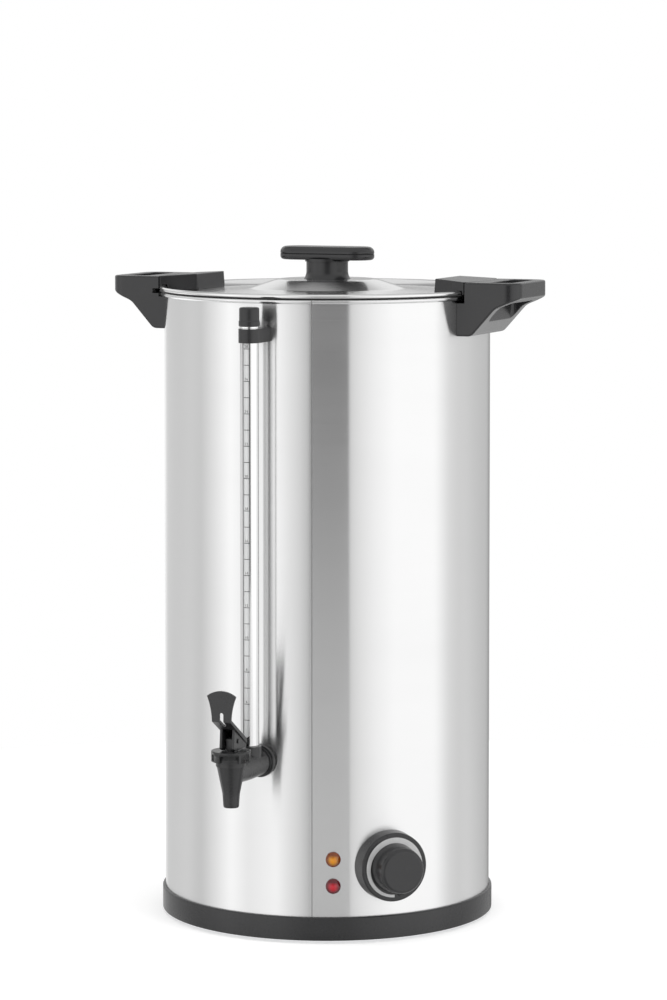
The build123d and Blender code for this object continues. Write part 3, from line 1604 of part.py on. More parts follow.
def half_turn(piece):
    """The same piece on the other side of the vessel."""
    with BuildPart() as turned:
        add(piece.part, rotation=(0, 0, 180))
    return turned


def main():
    """Builds every piece and writes one STEP file for each."""
    os.makedirs("parts", exist_ok=True)
    handle_right = make_handle()
    screws_right = make_handle_screws()
    wing_right = make_wing()
    pieces = {
        "base_ring": make_base_ring(),
        "bottom_plate": make_bottom_plate(),
        "bottom_screws": make_bottom_screws(),
        "rubber_feet": make_rubber_feet(),
        "vessel_shell": make_vessel_shell(),
        "tank_floor": make_tank_floor(),
        "handle_right": handle_right,
        "handle_left": half_turn(handle_right),
        "handle_screws_right": screws_right,
        "handle_screws_left": half_turn(screws_right),
        "lid_shell": make_lid_shell(),
        "lid_seal": make_lid_seal(),
        "lid_wing_right": wing_right,
        "lid_wing_left": half_turn(wing_right),
        "wing_screws": make_wing_screws(),
        "knob_stem": make_knob_stem(),
        "knob_grip_lower": make_grip_lower(),
        "knob_grip_upper": make_grip_upper(),
        "knob_washer": make_knob_washer(),
        "knob_screw": make_knob_screw(),
        "tap_body": make_tap_body(),
        "tap_gasket": make_tap_gasket(),
        "tap_inner_gasket": make_tap_inner_gasket(),
        "tap_nut": make_tap_nut(),
        "tap_bonnet": make_tap_bonnet(),
        "tap_seat_cup": make_seat_cup(),
        "tap_stem": make_tap_stem(),
        "tap_spring": make_tap_spring(),
        "tap_lever": make_tap_lever(),
        "lever_pin": make_lever_pin(),
        "gauge_tube": make_gauge_tube(),
        "gauge_guard": make_gauge_guard(),
        "gauge_seal": make_gauge_seal(),
        "gauge_ring": make_gauge_ring(),
        "gauge_cap": make_gauge_cap(),
        "gauge_clip": make_gauge_clip(),
        "gauge_clip_screw": make_clip_screw(),
        "dial_bezel": make_bezel(),
        "dial_scale_arc": make_scale_arc(),
        "dial_knob": make_dial_knob(),
        "dial_shaft": make_dial_shaft(),
        "thermostat_body": make_thermostat_body(),
        "thermostat_nut": make_thermostat_nut(),
        "lamp_lens_amber": make_lamp_lens(base_z + amber_lamp_height),
        "lamp_lens_red": make_lamp_lens(base_z + red_lamp_height),
        "lamp_bodies": make_lamp_bodies(),
        "heater_plate": make_heater_plate(),
        "heating_element": make_heating_element(),
        "boil_dry_cutout": make_boil_dry_cutout(),
        "terminal_block": make_terminal_block(),
        "cord_gland": make_cord_gland(),
        "gland_nut": make_gland_nut(),
    }
    for name, piece in pieces.items():
        piece.part.label = name
        export_step(piece.part, f"parts/{name}.step")


main()
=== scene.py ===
"""Hot water urn: finishes, detailed pieces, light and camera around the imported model."""

import json
import logging
from dataclasses import dataclass, field
from enum import Enum
from math import cos, pi, radians, sin
from typing import Any, Callable, Optional, Sequence

import bpy
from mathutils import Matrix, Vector


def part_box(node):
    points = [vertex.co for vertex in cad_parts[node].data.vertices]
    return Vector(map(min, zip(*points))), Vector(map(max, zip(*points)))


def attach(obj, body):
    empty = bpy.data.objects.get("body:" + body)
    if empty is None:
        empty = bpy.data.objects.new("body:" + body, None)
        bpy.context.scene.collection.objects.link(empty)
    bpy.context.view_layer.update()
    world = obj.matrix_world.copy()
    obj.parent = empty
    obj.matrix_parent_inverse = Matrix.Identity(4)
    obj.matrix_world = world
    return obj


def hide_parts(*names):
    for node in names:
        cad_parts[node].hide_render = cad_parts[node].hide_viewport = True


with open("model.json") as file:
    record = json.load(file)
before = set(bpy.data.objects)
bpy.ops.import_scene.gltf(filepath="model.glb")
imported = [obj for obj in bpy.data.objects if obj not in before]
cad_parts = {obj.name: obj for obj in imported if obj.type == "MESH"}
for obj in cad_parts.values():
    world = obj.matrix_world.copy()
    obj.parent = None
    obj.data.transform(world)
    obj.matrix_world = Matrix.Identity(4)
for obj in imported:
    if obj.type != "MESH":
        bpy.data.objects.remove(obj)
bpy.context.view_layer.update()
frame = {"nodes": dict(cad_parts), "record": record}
LOG = logging.getLogger("urn")
MM = 0.001
UP = Vector((0, 0, 1))

Colour = tuple[float, float, float]
Point = tuple[float, float]
Thing = bpy.types.Object
Test = Callable[[Vector, Vector], bool]

SLOT_OF = {part["node"]: part["material_slot"] for part in frame["record"]["subparts"]}
BODY_OF = {node: body for body, nodes in frame["record"]["behaviour"]["bodies"].items() for node in nodes}


# ---------------------------------------------------------------------- shader maths


class Wire:
    """One value in a material: a socket that takes part in Python arithmetic."""

    def __init__(self, net: "Net", socket: Any) -> None:
        """Args: net: the node tree it belongs to. socket: the output socket."""
        self.net = net
        self.socket = socket

    def _maths(self, operation: str, *values: Any) -> "Wire":
        """Args: operation: a Math node's operation. values: its inputs. Returns: the result."""
        return self.net.node("ShaderNodeMath", {"operation": operation}, dict(enumerate(values)))

    def __add__(self, other: Any) -> "Wire":
        """Returns: the sum."""
        return self._maths("ADD", self, other)

    __radd__ = __add__

    def __mul__(self, other: Any) -> "Wire":
        """Returns: the product."""
        return self._maths("MULTIPLY", self, other)

    __rmul__ = __mul__

    def __sub__(self, other: Any) -> "Wire":
        """Returns: self less other."""
        return self._maths("SUBTRACT", self, other)

    def __rsub__(self, other: Any) -> "Wire":
        """Returns: other less self."""
        return self._maths("SUBTRACT", other, self)

    def __truediv__(self, other: Any) -> "Wire":
        """Returns: the quotient."""
        return self._maths("DIVIDE", self, other)

    def above(self, other: Any) -> "Wire":
        """Returns: 1 where self is greater than other, else 0."""
        return self._maths("GREATER_THAN", self, other)

    def size(self) -> "Wire":
        """Returns: self without its sign."""
        return self._maths("ABSOLUTE", self)

    def clamped(self) -> "Wire":
        """Returns: self kept between 0 and 1."""
        return self.net.node("ShaderNodeClamp", {}, {"Value": self})

    def ramp(self, *stops: tuple[float, float]) -> "Wire":
        """Args: stops: position and grey level pairs. Returns: the level at self."""
        return self.net.ramp(self, [(at, (level, level, level)) for at, level in stops])


class Net:
    """The node tree of one material or of the world, with one method that adds any node."""

    def __init__(self, tree: Any) -> None:
        """Args: tree: an empty node tree."""
        self.tree = tree
        tree.nodes.clear()

    def node(self, kind: str, settings: dict[str, Any], inputs: dict[Any, Any], out: Any = 0) -> Wire:
        """Adds a node.

        Args:
            kind: the node's type.
            settings: properties that are set before its sockets.
            inputs: values or wires by socket name or number.
            out: the output that is returned.
        Returns:
            The chosen output as a wire.
        """
        made = self.tree.nodes.new(kind)
        for key, value in settings.items():
            setattr(made, key, value)
        for key, value in inputs.items():
            if isinstance(value, Wire):
                self.tree.links.new(value.socket, made.inputs[key])
            else:
                made.inputs[key].default_value = value
        return Wire(self, made.outputs[out] if len(made.outputs) else None)

    def place(self, scale: Sequence[float] = (1, 1, 1), about: Optional[Vector] = None) -> Wire:
        """Object coordinates, scaled for a grain.

        Args:
            scale: stretch along x, y and z, per metre.
            about: point that becomes the origin.
        Returns:
            The coordinates.
        """
        here = self.node("ShaderNodeTexCoord", {}, {}, "Object")
        if about is not None:
            here = self.node("ShaderNodeVectorMath", {"operation": "SUBTRACT"}, {0: here, 1: tuple(about)})
        return self.node("ShaderNodeVectorMath", {"operation": "MULTIPLY"}, {0: here, 1: tuple(scale)})

    def noise(
        self, scale: float, detail: float = 2.0, roughness: float = 0.5, at: Optional[Wire] = None
    ) -> Wire:
        """Args: scale, detail, roughness: of the pattern. at: its coordinates. Returns: about 0.2 to 0.8."""
        inputs = {"Vector": at or self.place(), "Scale": scale, "Detail": detail, "Roughness": roughness}
        return self.node("ShaderNodeTexNoise", {}, inputs)

    def split(self, vector: Wire) -> tuple[Wire, Wire, Wire]:
        """Takes a vector apart.

        Args:
            vector: what is taken apart.
        Returns:
            Its x, y and z.
        """
        first = self.node("ShaderNodeSeparateXYZ", {}, {"Vector": vector}, "X")
        outputs = first.socket.node.outputs
        return first, Wire(self, outputs["Y"]), Wire(self, outputs["Z"])

    def length(self, vector: Wire) -> Wire:
        """Returns: a vector's length."""
        return self.node("ShaderNodeVectorMath", {"operation": "LENGTH"}, {0: vector}, "Value")

    def joined(self, *parts: Wire) -> Wire:
        """Returns: a vector from its parts."""
        return self.node("ShaderNodeCombineXYZ", {}, dict(enumerate(parts)))

    def ramp(self, value: Any, stops: Sequence[tuple[float, Colour]]) -> Wire:
        """Maps a value to colours.

        Args:
            value: where on the ramp.
            stops: position and colour pairs.
        Returns:
            The colour.
        """
        made = self.tree.nodes.new("ShaderNodeValToRGB")
        elements = made.color_ramp.elements
        while len(elements) < len(stops):
            elements.new(0.5)
        for element, (at, colour) in zip(elements, stops):
            element.position = at
            element.color = (*colour, 1)
        self.tree.links.new(value.socket, made.inputs[0])
        return Wire(self, made.outputs[0])

    def span(self, value: Wire, low: float, high: float, first: float, second: float) -> Wire:
        """Args: low, high: limits of the value. first, second: the levels there. Returns: the level."""
        limits = {"From Min": low, "From Max": high, "To Min": first, "To Max": second}
        return self.node("ShaderNodeMapRange", {"clamp": True}, {"Value": value, **limits})

    def blend(self, share: Wire, first: Any, second: Any) -> Wire:
        """Args: share: how much of the second. first, second: colours. Returns: their mixture."""
        colours = [(*c, 1) if isinstance(c, tuple) else c for c in (first, second)]
        return self.node("ShaderNodeMix", {"data_type": "RGBA"}, {0: share, 6: colours[0], 7: colours[1]}, 2)

    def bump(self, height: Wire, distance: float, strength: float = 1.0) -> Wire:
        """Args: height: the relief. distance: its depth in metres. strength: its share. Returns: a normal."""
        return self.node("ShaderNodeBump", {}, {"Height": height, "Distance": distance, "Strength": strength})


# ---------------------------------------------------------------------- finishes


def grey(level: float) -> Colour:
    """Returns: a neutral colour."""
    return (level, level, level)


def scaled(colour: Colour, share: float) -> Colour:
    """Returns: a colour times a share."""
    return (colour[0] * share, colour[1] * share, colour[2] * share)


@dataclass(frozen=True)
class Finish:
    """A surface finish, made into a material once."""

    name: str

    def material(self) -> bpy.types.Material:
        """Makes the finish's material, or finds it when it is made already.

        Returns:
            The Blender material.
        """
        label = "finish_" + self.name
        found = bpy.data.materials.get(label)
        if found is None:
            found = bpy.data.materials.new(label)
            found.use_nodes = True
            net = Net(found.node_tree)
            surface = self.surface(net)
            net.node("ShaderNodeOutputMaterial", {}, {"Surface": surface})
        return found

    def surface(self, net: Net) -> Wire:
        """Args: net: the empty node tree. Returns: the shader."""
        raise NotImplementedError

    @staticmethod
    def principled(net: Net, **sockets: Any) -> Wire:
        """Adds the principled shader.

        Args:
            net: the node tree.
            sockets: values by socket name, its blanks as underscores.
        Returns:
            The shader.
        """
        named = {key.replace("_", " "): value for key, value in sockets.items()}
        for key in ("Base Color", "Coat Tint", "Emission Color", "Sheen Tint"):
            if isinstance(named.get(key), tuple) and len(named[key]) == 3:
                named[key] = (*named[key], 1)
        return net.node("ShaderNodeBsdfPrincipled", {}, named)


class Grain(Enum):
    """How the brushing of a metal runs."""

    AROUND = "around an upright axis"
    SPUN = "in circles on a lid or a plate"
    FINE = "in no direction"


@dataclass(frozen=True)
class Steel(Finish):
    """Brushed, spun or polished stainless steel."""

    colour: Colour = (0.80, 0.80, 0.79)
    roughness: float = 0.2
    anisotropic: float = 0.0
    grain: Grain = Grain.FINE
    depth: float = 0.000004  # of the brushing, metres
    stain: float = 0.03  # how strongly it is clouded
    seam: Optional[float] = None  # azimuth of a welded joint, degrees from the tap
    seam_core: float = 0.0002  # half width of the joint's dark line, metres
    seam_edge: float = 0.0005  # half width at which it has faded

    LINES = (5200, 900)  # fine and broad brushing lines per metre
    RINGS = (2600, 420)  # the same where they run in circles
    FINE_SHARE = 0.65  # of the fine lines in the relief

    def joint(self, net: Net) -> Wire:
        """Draws the upright welded joint.

        Args:
            net: the node tree.
        Returns:
            1 on the joint, else 0.
        """
        turn = radians(self.seam or 0)
        x, y, _ = net.split(net.place())
        front = (x * sin(turn) - y * cos(turn)).above(0)
        aside = (x * cos(turn) + y * sin(turn)).size()
        return net.span(aside, self.seam_core, self.seam_edge, 1.0, 0.0) * front

    def lines(self, net: Net) -> Wire:
        """Draws the brushing.

        Args:
            net: the node tree.
        Returns:
            Its lines, as a height.
        """
        if self.grain is Grain.FINE:
            return net.noise(900, 3)
        if self.grain is Grain.AROUND:
            fine = net.noise(1, 2, at=net.place((3, 3, self.LINES[0])))
            broad = net.noise(1, 2, at=net.place((1.5, 1.5, self.LINES[1])))
        else:
            x, y, z = net.split(net.place())
            radius = net.length(net.joined(x, y))
            fine = net.noise(1, 2, at=net.joined(radius * self.RINGS[0], x * 4, y * 4))
            broad = net.noise(1, 1, at=net.joined(radius * self.RINGS[1], x * 2, z * 300))
        return fine * self.FINE_SHARE + broad * (1 - self.FINE_SHARE)

    def surface(self, net: Net) -> Wire:
        """Mixes the metal.

        Args:
            net: the node tree.
        Returns:
            The shader.
        """
        lines = self.lines(net)
        cloud = net.noise(9, 4, 0.55)
        wiped = net.noise(1, 3, 0.6, at=net.place((6, 6, 22)))
        tone = (lines - 0.5) * 0.10 + (cloud - 0.5) * self.stain + 0.5
        colour = net.ramp(tone, [(0.3, scaled(self.colour, 0.90)), (0.7, scaled(self.colour, 1.06))])
        roughness = (lines - 0.5) * 0.10 + (wiped - 0.5) * 0.05 + self.roughness
        if self.seam is not None:
            joint = self.joint(net)
            colour = net.blend(joint, colour, scaled(self.colour, 0.45))
            roughness = joint * 0.15 + roughness
        return self.principled(
            net,
            Base_Color=colour,
            Metallic=1.0,
            Roughness=roughness.clamped(),
            Anisotropic=self.anisotropic,
            Anisotropic_Rotation=0.25,
            Normal=net.bump(lines, self.depth, 0.4),
        )


@dataclass(frozen=True)
class Moulded(Finish):
    """Injection-moulded plastic with a fine grain, a soft sheen and faint handling marks."""

    colour: Colour = (0.05, 0.05, 0.052)
    roughness: float = 0.42
    grain: float = 2600  # pits per metre
    depth: float = 0.00002  # of the pits, metres

    def surface(self, net: Net) -> Wire:
        """Mixes the plastic.

        Args:
            net: the node tree.
        Returns:
            The shader.
        """
        pits = net.noise(self.grain, 3, 0.6)
        flow = net.noise(26, 3, 0.5, at=net.place((1, 1, 1.8)))
        marks = net.noise(70, 5, 0.7, at=net.place((1, 2.2, 1))).ramp((0.56, 0.0), (0.72, 1.0))
        tone = (pits - 0.5) * 0.30 + (flow - 0.5) * 0.5 + 0.5
        colour = net.ramp(tone, [(0.2, scaled(self.colour, 0.82)), (0.8, scaled(self.colour, 1.22))])
        roughness = (pits - 0.5) * 0.12 + (flow - 0.5) * 0.10 + marks * -0.05 + self.roughness
        return self.principled(
            net,
            Base_Color=colour,
            Roughness=roughness.clamped(),
            Normal=net.bump(pits, self.depth, 0.5),
        )


@dataclass(frozen=True)
class Rubber(Finish):
    """Matt rubber or silicone with a dusty bloom."""

    colour: Colour = (0.03, 0.03, 0.03)
    roughness: float = 0.7
    see_through: float = 0.0

    def surface(self, net: Net) -> Wire:
        """Mixes the rubber.

        Args:
            net: the node tree.
        Returns:
            The shader.
        """
        bloom = net.noise(160, 4, 0.6)
        fine = net.noise(1500, 2)
        share = bloom.ramp((0.35, 0.0), (0.75, 1.0)) * 0.6
        colour = net.blend(share, scaled(self.colour, 0.85), scaled(self.colour, 1.5))
        return self.principled(
            net,
            Base_Color=colour,
            Roughness=(fine * 0.2 + (self.roughness - 0.1)).clamped(),
            Subsurface_Weight=self.see_through,
            Subsurface_Scale=0.002,
            Normal=net.bump(fine, 0.00003, 0.5),
        )


@dataclass(frozen=True)
class Clear(Finish):
    """Clear tube, a little milky with age, with faint drawing lines along its length."""

    colour: Colour = (0.90, 0.91, 0.91)
    cover: float = 0.74  # how opaque it is

    def surface(self, net: Net) -> Wire:
        """Mixes the tube's plastic.

        Args:
            net: the node tree.
        Returns:
            The shader.
        """
        scuffs = net.noise(1, 3, at=net.place((900, 900, 20)))
        clouds = net.noise(1, 3, at=net.place((30, 30, 12)))
        return self.principled(
            net,
            Base_Color=net.ramp(clouds, [(0.3, scaled(self.colour, 0.92)), (0.7, self.colour)]),
            Roughness=(scuffs * 0.10 + 0.05).clamped(),
            Alpha=((scuffs - 0.5) * 0.2 + (clouds - 0.5) * 0.1 + self.cover).clamped(),
            Coat_Weight=1.0,
            Coat_Roughness=0.03,
            Normal=net.bump(scuffs, 0.00001, 0.15),
        )


@dataclass(frozen=True)
class Lens(Finish):
    """Coloured lamp lens with painted light and shade: painted shade at its top where its hollow shows and
    along its rim, and a painted highlight in its middle.
    """

    centre: tuple[float, float, float] = (0, 0, 0)
    radius: float = 0.0067
    # bright: the lens's lit tone, used for the painted highlight; dark: its shaded tone, used for the painted
    # shade.
    bright: Colour = (0.86, 0.36, 0.015)
    dark: Colour = (0.17, 0.035, 0.003)

    def reach(self, net: Net, lift: float) -> Wire:
        """Args: net: the tree. lift: in radii. Returns: radii from a point that far above the middle."""
        return net.length(net.place(about=Vector(self.centre) + UP * self.radius * lift)) / self.radius

    def surface(self, net: Net) -> Wire:
        """Mixes the lens.

        Args:
            net: the node tree.
        Returns:
            The shader.
        """
        # Painted shade along the rim (ring) and at the top where the hollow shows (hollow), and a painted
        # highlight in the middle (glow); together they mix the lit and shaded tones.
        ring = self.reach(net, 0).ramp((0.55, 0.0), (0.84, 1.0))
        hollow = self.reach(net, 0.46).ramp((0.10, 1.0), (0.60, 0.0))
        glow = self.reach(net, -0.18).ramp((0.05, 1.0), (0.70, 0.0))
        shade = (hollow * 0.7 + ring * 0.65 + 0.36 - glow * 0.5).clamped()
        ribs = net.noise(420, 2)
        colour = net.blend((shade + (ribs - 0.5) * 0.15).clamped(), self.bright, self.dark)
        return self.principled(
            net,
            Base_Color=colour,
            Roughness=(ribs * 0.08 + 0.1).clamped(),
            Coat_Weight=0.2,
            Coat_Roughness=0.06,
            Subsurface_Weight=0.35,
            Subsurface_Scale=0.002,
            Normal=net.bump(ribs, 0.00004, 0.3),
        )


@dataclass(frozen=True)
class Foil(Finish):
    """Satin printed foil, pale and lightly mottled."""

    colour: Colour = (0.60, 0.60, 0.60)

    def surface(self, net: Net) -> Wire:
        """Mixes the foil.

        Args:
            net: the node tree.
        Returns:
            The shader.
        """
        mottle = net.noise(700, 3, 0.6)
        broad = net.noise(60, 2)
        tone = (mottle - 0.5) * 0.5 + (broad - 0.5) * 0.5 + 0.5
        return self.principled(
            net,
            Base_Color=net.ramp(tone, [(0.25, scaled(self.colour, 0.88)), (0.75, scaled(self.colour, 1.10))]),
            Metallic=0.25,
            Roughness=(mottle * 0.12 + 0.40).clamped(),
            Normal=net.bump(mottle, 0.00001, 0.4),
        )


@dataclass(frozen=True)
class Ceramic(Finish):
    """Unglazed steatite with fine pits and a few darker specks."""

    colour: Colour = (0.80, 0.78, 0.72)

    def surface(self, net: Net) -> Wire:
        """Mixes the ceramic.

        Args:
            net: the node tree.
        Returns:
            The shader.
        """
        pits = net.noise(1400, 3)
        specks = net.noise(480, 2).ramp((0.66, 0.0), (0.72, 1.0))
        colour = net.blend(specks * 0.5, self.colour, scaled(self.colour, 0.6))
        return self.principled(
            net,
            Base_Color=colour,
            Roughness=(pits * 0.2 + 0.45).clamped(),
            Normal=net.bump(pits, 0.00004, 0.6),
        )


@dataclass(frozen=True)
class Heated(Finish):
    """Sheathed heating element: grey steel with straw and blue heat tints along it."""

    colour: Colour = (0.45, 0.44, 0.42)
    straw: Colour = (0.50, 0.42, 0.28)
    blue: Colour = (0.34, 0.30, 0.36)

    def surface(self, net: Net) -> Wire:
        """Mixes the tinted steel.

        Args:
            net: the node tree.
        Returns:
            The shader.
        """
        bands = net.noise(34, 3)
        fine = net.noise(900, 3)
        tints = [(0.3, scaled(self.colour, 0.8)), (0.5, self.straw), (0.62, self.blue), (0.8, self.colour)]
        return self.principled(
            net,
            Base_Color=net.ramp(bands, tints),
            Metallic=1.0,
            Roughness=(fine * 0.2 + 0.35).clamped(),
            Normal=net.bump(fine, 0.00003, 0.5),
        )


FINISHES: dict[str, Finish] = {finish.name: finish for finish in (
    Steel("brushed_steel_wall", grey(0.80), 0.20, 1.0, Grain.AROUND, seam=17.8),
    Steel("bright_steel_lid", grey(0.84), 0.19, 0.5, Grain.SPUN, 0.000002),
    Steel("tank_steel", grey(0.66), 0.30, 0.7, Grain.SPUN),
    Moulded("base_plastic", (0.019, 0.019, 0.020), 0.27),
    Moulded("black_plastic", (0.020, 0.020, 0.021), 0.25),
    Moulded("cap_plastic", (0.019, 0.019, 0.020), 0.34),
    Moulded("tap_plastic", (0.020, 0.020, 0.021), 0.28),
    Rubber("rubber_black"),
    Rubber("silicone", (0.60, 0.59, 0.55), 0.5, 0.3),
    Steel("zinc_steel", (0.66, 0.67, 0.69), 0.32),
    Steel("guard_steel", grey(0.86), 0.12, 0.6, Grain.AROUND, 0.000001, 0.015),
    Clear("clear_tube"),
    Foil("foil"),
    Moulded("lamp_plastic", (0.05, 0.05, 0.05), 0.5),
    Steel("heater_aluminium", (0.62, 0.62, 0.63), 0.45),
    Heated("element_steel"),
    Ceramic("ceramic_white"),
    Steel("spring_steel", grey(0.70), 0.22),
    Steel("shaft_steel", grey(0.62), 0.30),
    Steel("thermostat_steel", (0.66, 0.66, 0.65), 0.36),
    Steel("brass", (0.78, 0.60, 0.28), 0.30),
)}


def node_centre(node: str) -> Vector:
    """Returns: the middle of a CAD node's box."""
    low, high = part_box(node)
    return (low + high) / 2


def paint(piece: Thing, slot: str) -> None:
    """Args: piece: what is painted. slot: whose finish it gets, and no other."""
    piece.data.materials.clear()
    piece.data.materials.append(FINISHES[slot].material())


def dress_nodes() -> None:
    """Gives every CAD node the finish of its slot."""
    amber = node_centre("lamp_lens_amber")
    red = node_centre("lamp_lens_red")
    # Each lens gets its painted highlight and painted shade centred on its own middle; the red one has its
    # own lit and shaded tones.
    FINISHES["lens_amber"] = Lens("lens_amber", tuple(amber))
    FINISHES["lens_red"] = Lens("lens_red", tuple(red), bright=(0.66, 0.02, 0.04), dark=(0.10, 0.001, 0.006))
    for node, slot in SLOT_OF.items():
        paint(frame["nodes"][node], slot)


# ---------------------------------------------------------------------- modelling by hand


def arc(centre: Point, radius: float, start: float, end: float, steps: int = 8) -> list[Point]:
    """Args: centre, radius: of the arc. start, end: degrees. steps: its parts. Returns: its points."""
    turns = [radians(start + (end - start) * step / steps) for step in range(steps + 1)]
    return [(centre[0] + radius * cos(turn), centre[1] + radius * sin(turn)) for turn in turns]


def rounded(corners: Sequence[tuple[float, float, float]], steps: int = 5) -> list[Point]:
    """Rounds the corners of an open profile.

    Args:
        corners: across, up and how far from the corner its rounding starts.
        steps: parts of each rounding.
    Returns:
        The profile's points.
    """
    points: list[Point] = []
    for index, (x, z, reach) in enumerate(corners):
        here = Vector((x, z))
        if reach == 0 or index in (0, len(corners) - 1):
            points.append((x, z))
            continue
        before = Vector(corners[index - 1][:2]) - here
        after = Vector(corners[index + 1][:2]) - here
        first, last = here + before.normalized() * reach, here + after.normalized() * reach
        for step in range(steps + 1):
            share = step / steps
            spot = first * (1 - share) ** 2 + here * (2 * share * (1 - share)) + last * share**2
            points.append((spot.x, spot.y))
    return points


def sleeve(
    inner: float, outer: float, low: float, high: float, edge: float, lip: float = 0, steps: int = 5
) -> list[Point]:
    """Closed profile of a tube with rounded edges.

    Args:
        inner, outer: its radii, mm.
        low, high: its ends, mm.
        edge: rounding of its outer edges, mm.
        lip: rounding of its upper inner edge, mm.
        steps: parts of each rounding.
    Returns:
        The profile's points.
    """
    corners = [(inner, low, 0), (outer, low, edge), (outer, high, edge), (inner, high, lip), (inner, low, 0)]
    return rounded(corners, steps)


def outward(azimuth: float, radius: float, height: float) -> Vector:
    """Args: azimuth: degrees from the tap. radius, height: of the point. Returns: the point."""
    turn = radians(azimuth)
    return Vector((radius * sin(turn), -radius * cos(turn), height))


def add_object(name: str, data: Any) -> Thing:
    """Adds an object to the scene.

    Args:
        name: its name.
        data: its mesh, lamp or camera.
    Returns:
        The object.
    """
    piece = bpy.data.objects.new(name, data)
    bpy.context.scene.collection.objects.link(piece)
    return piece


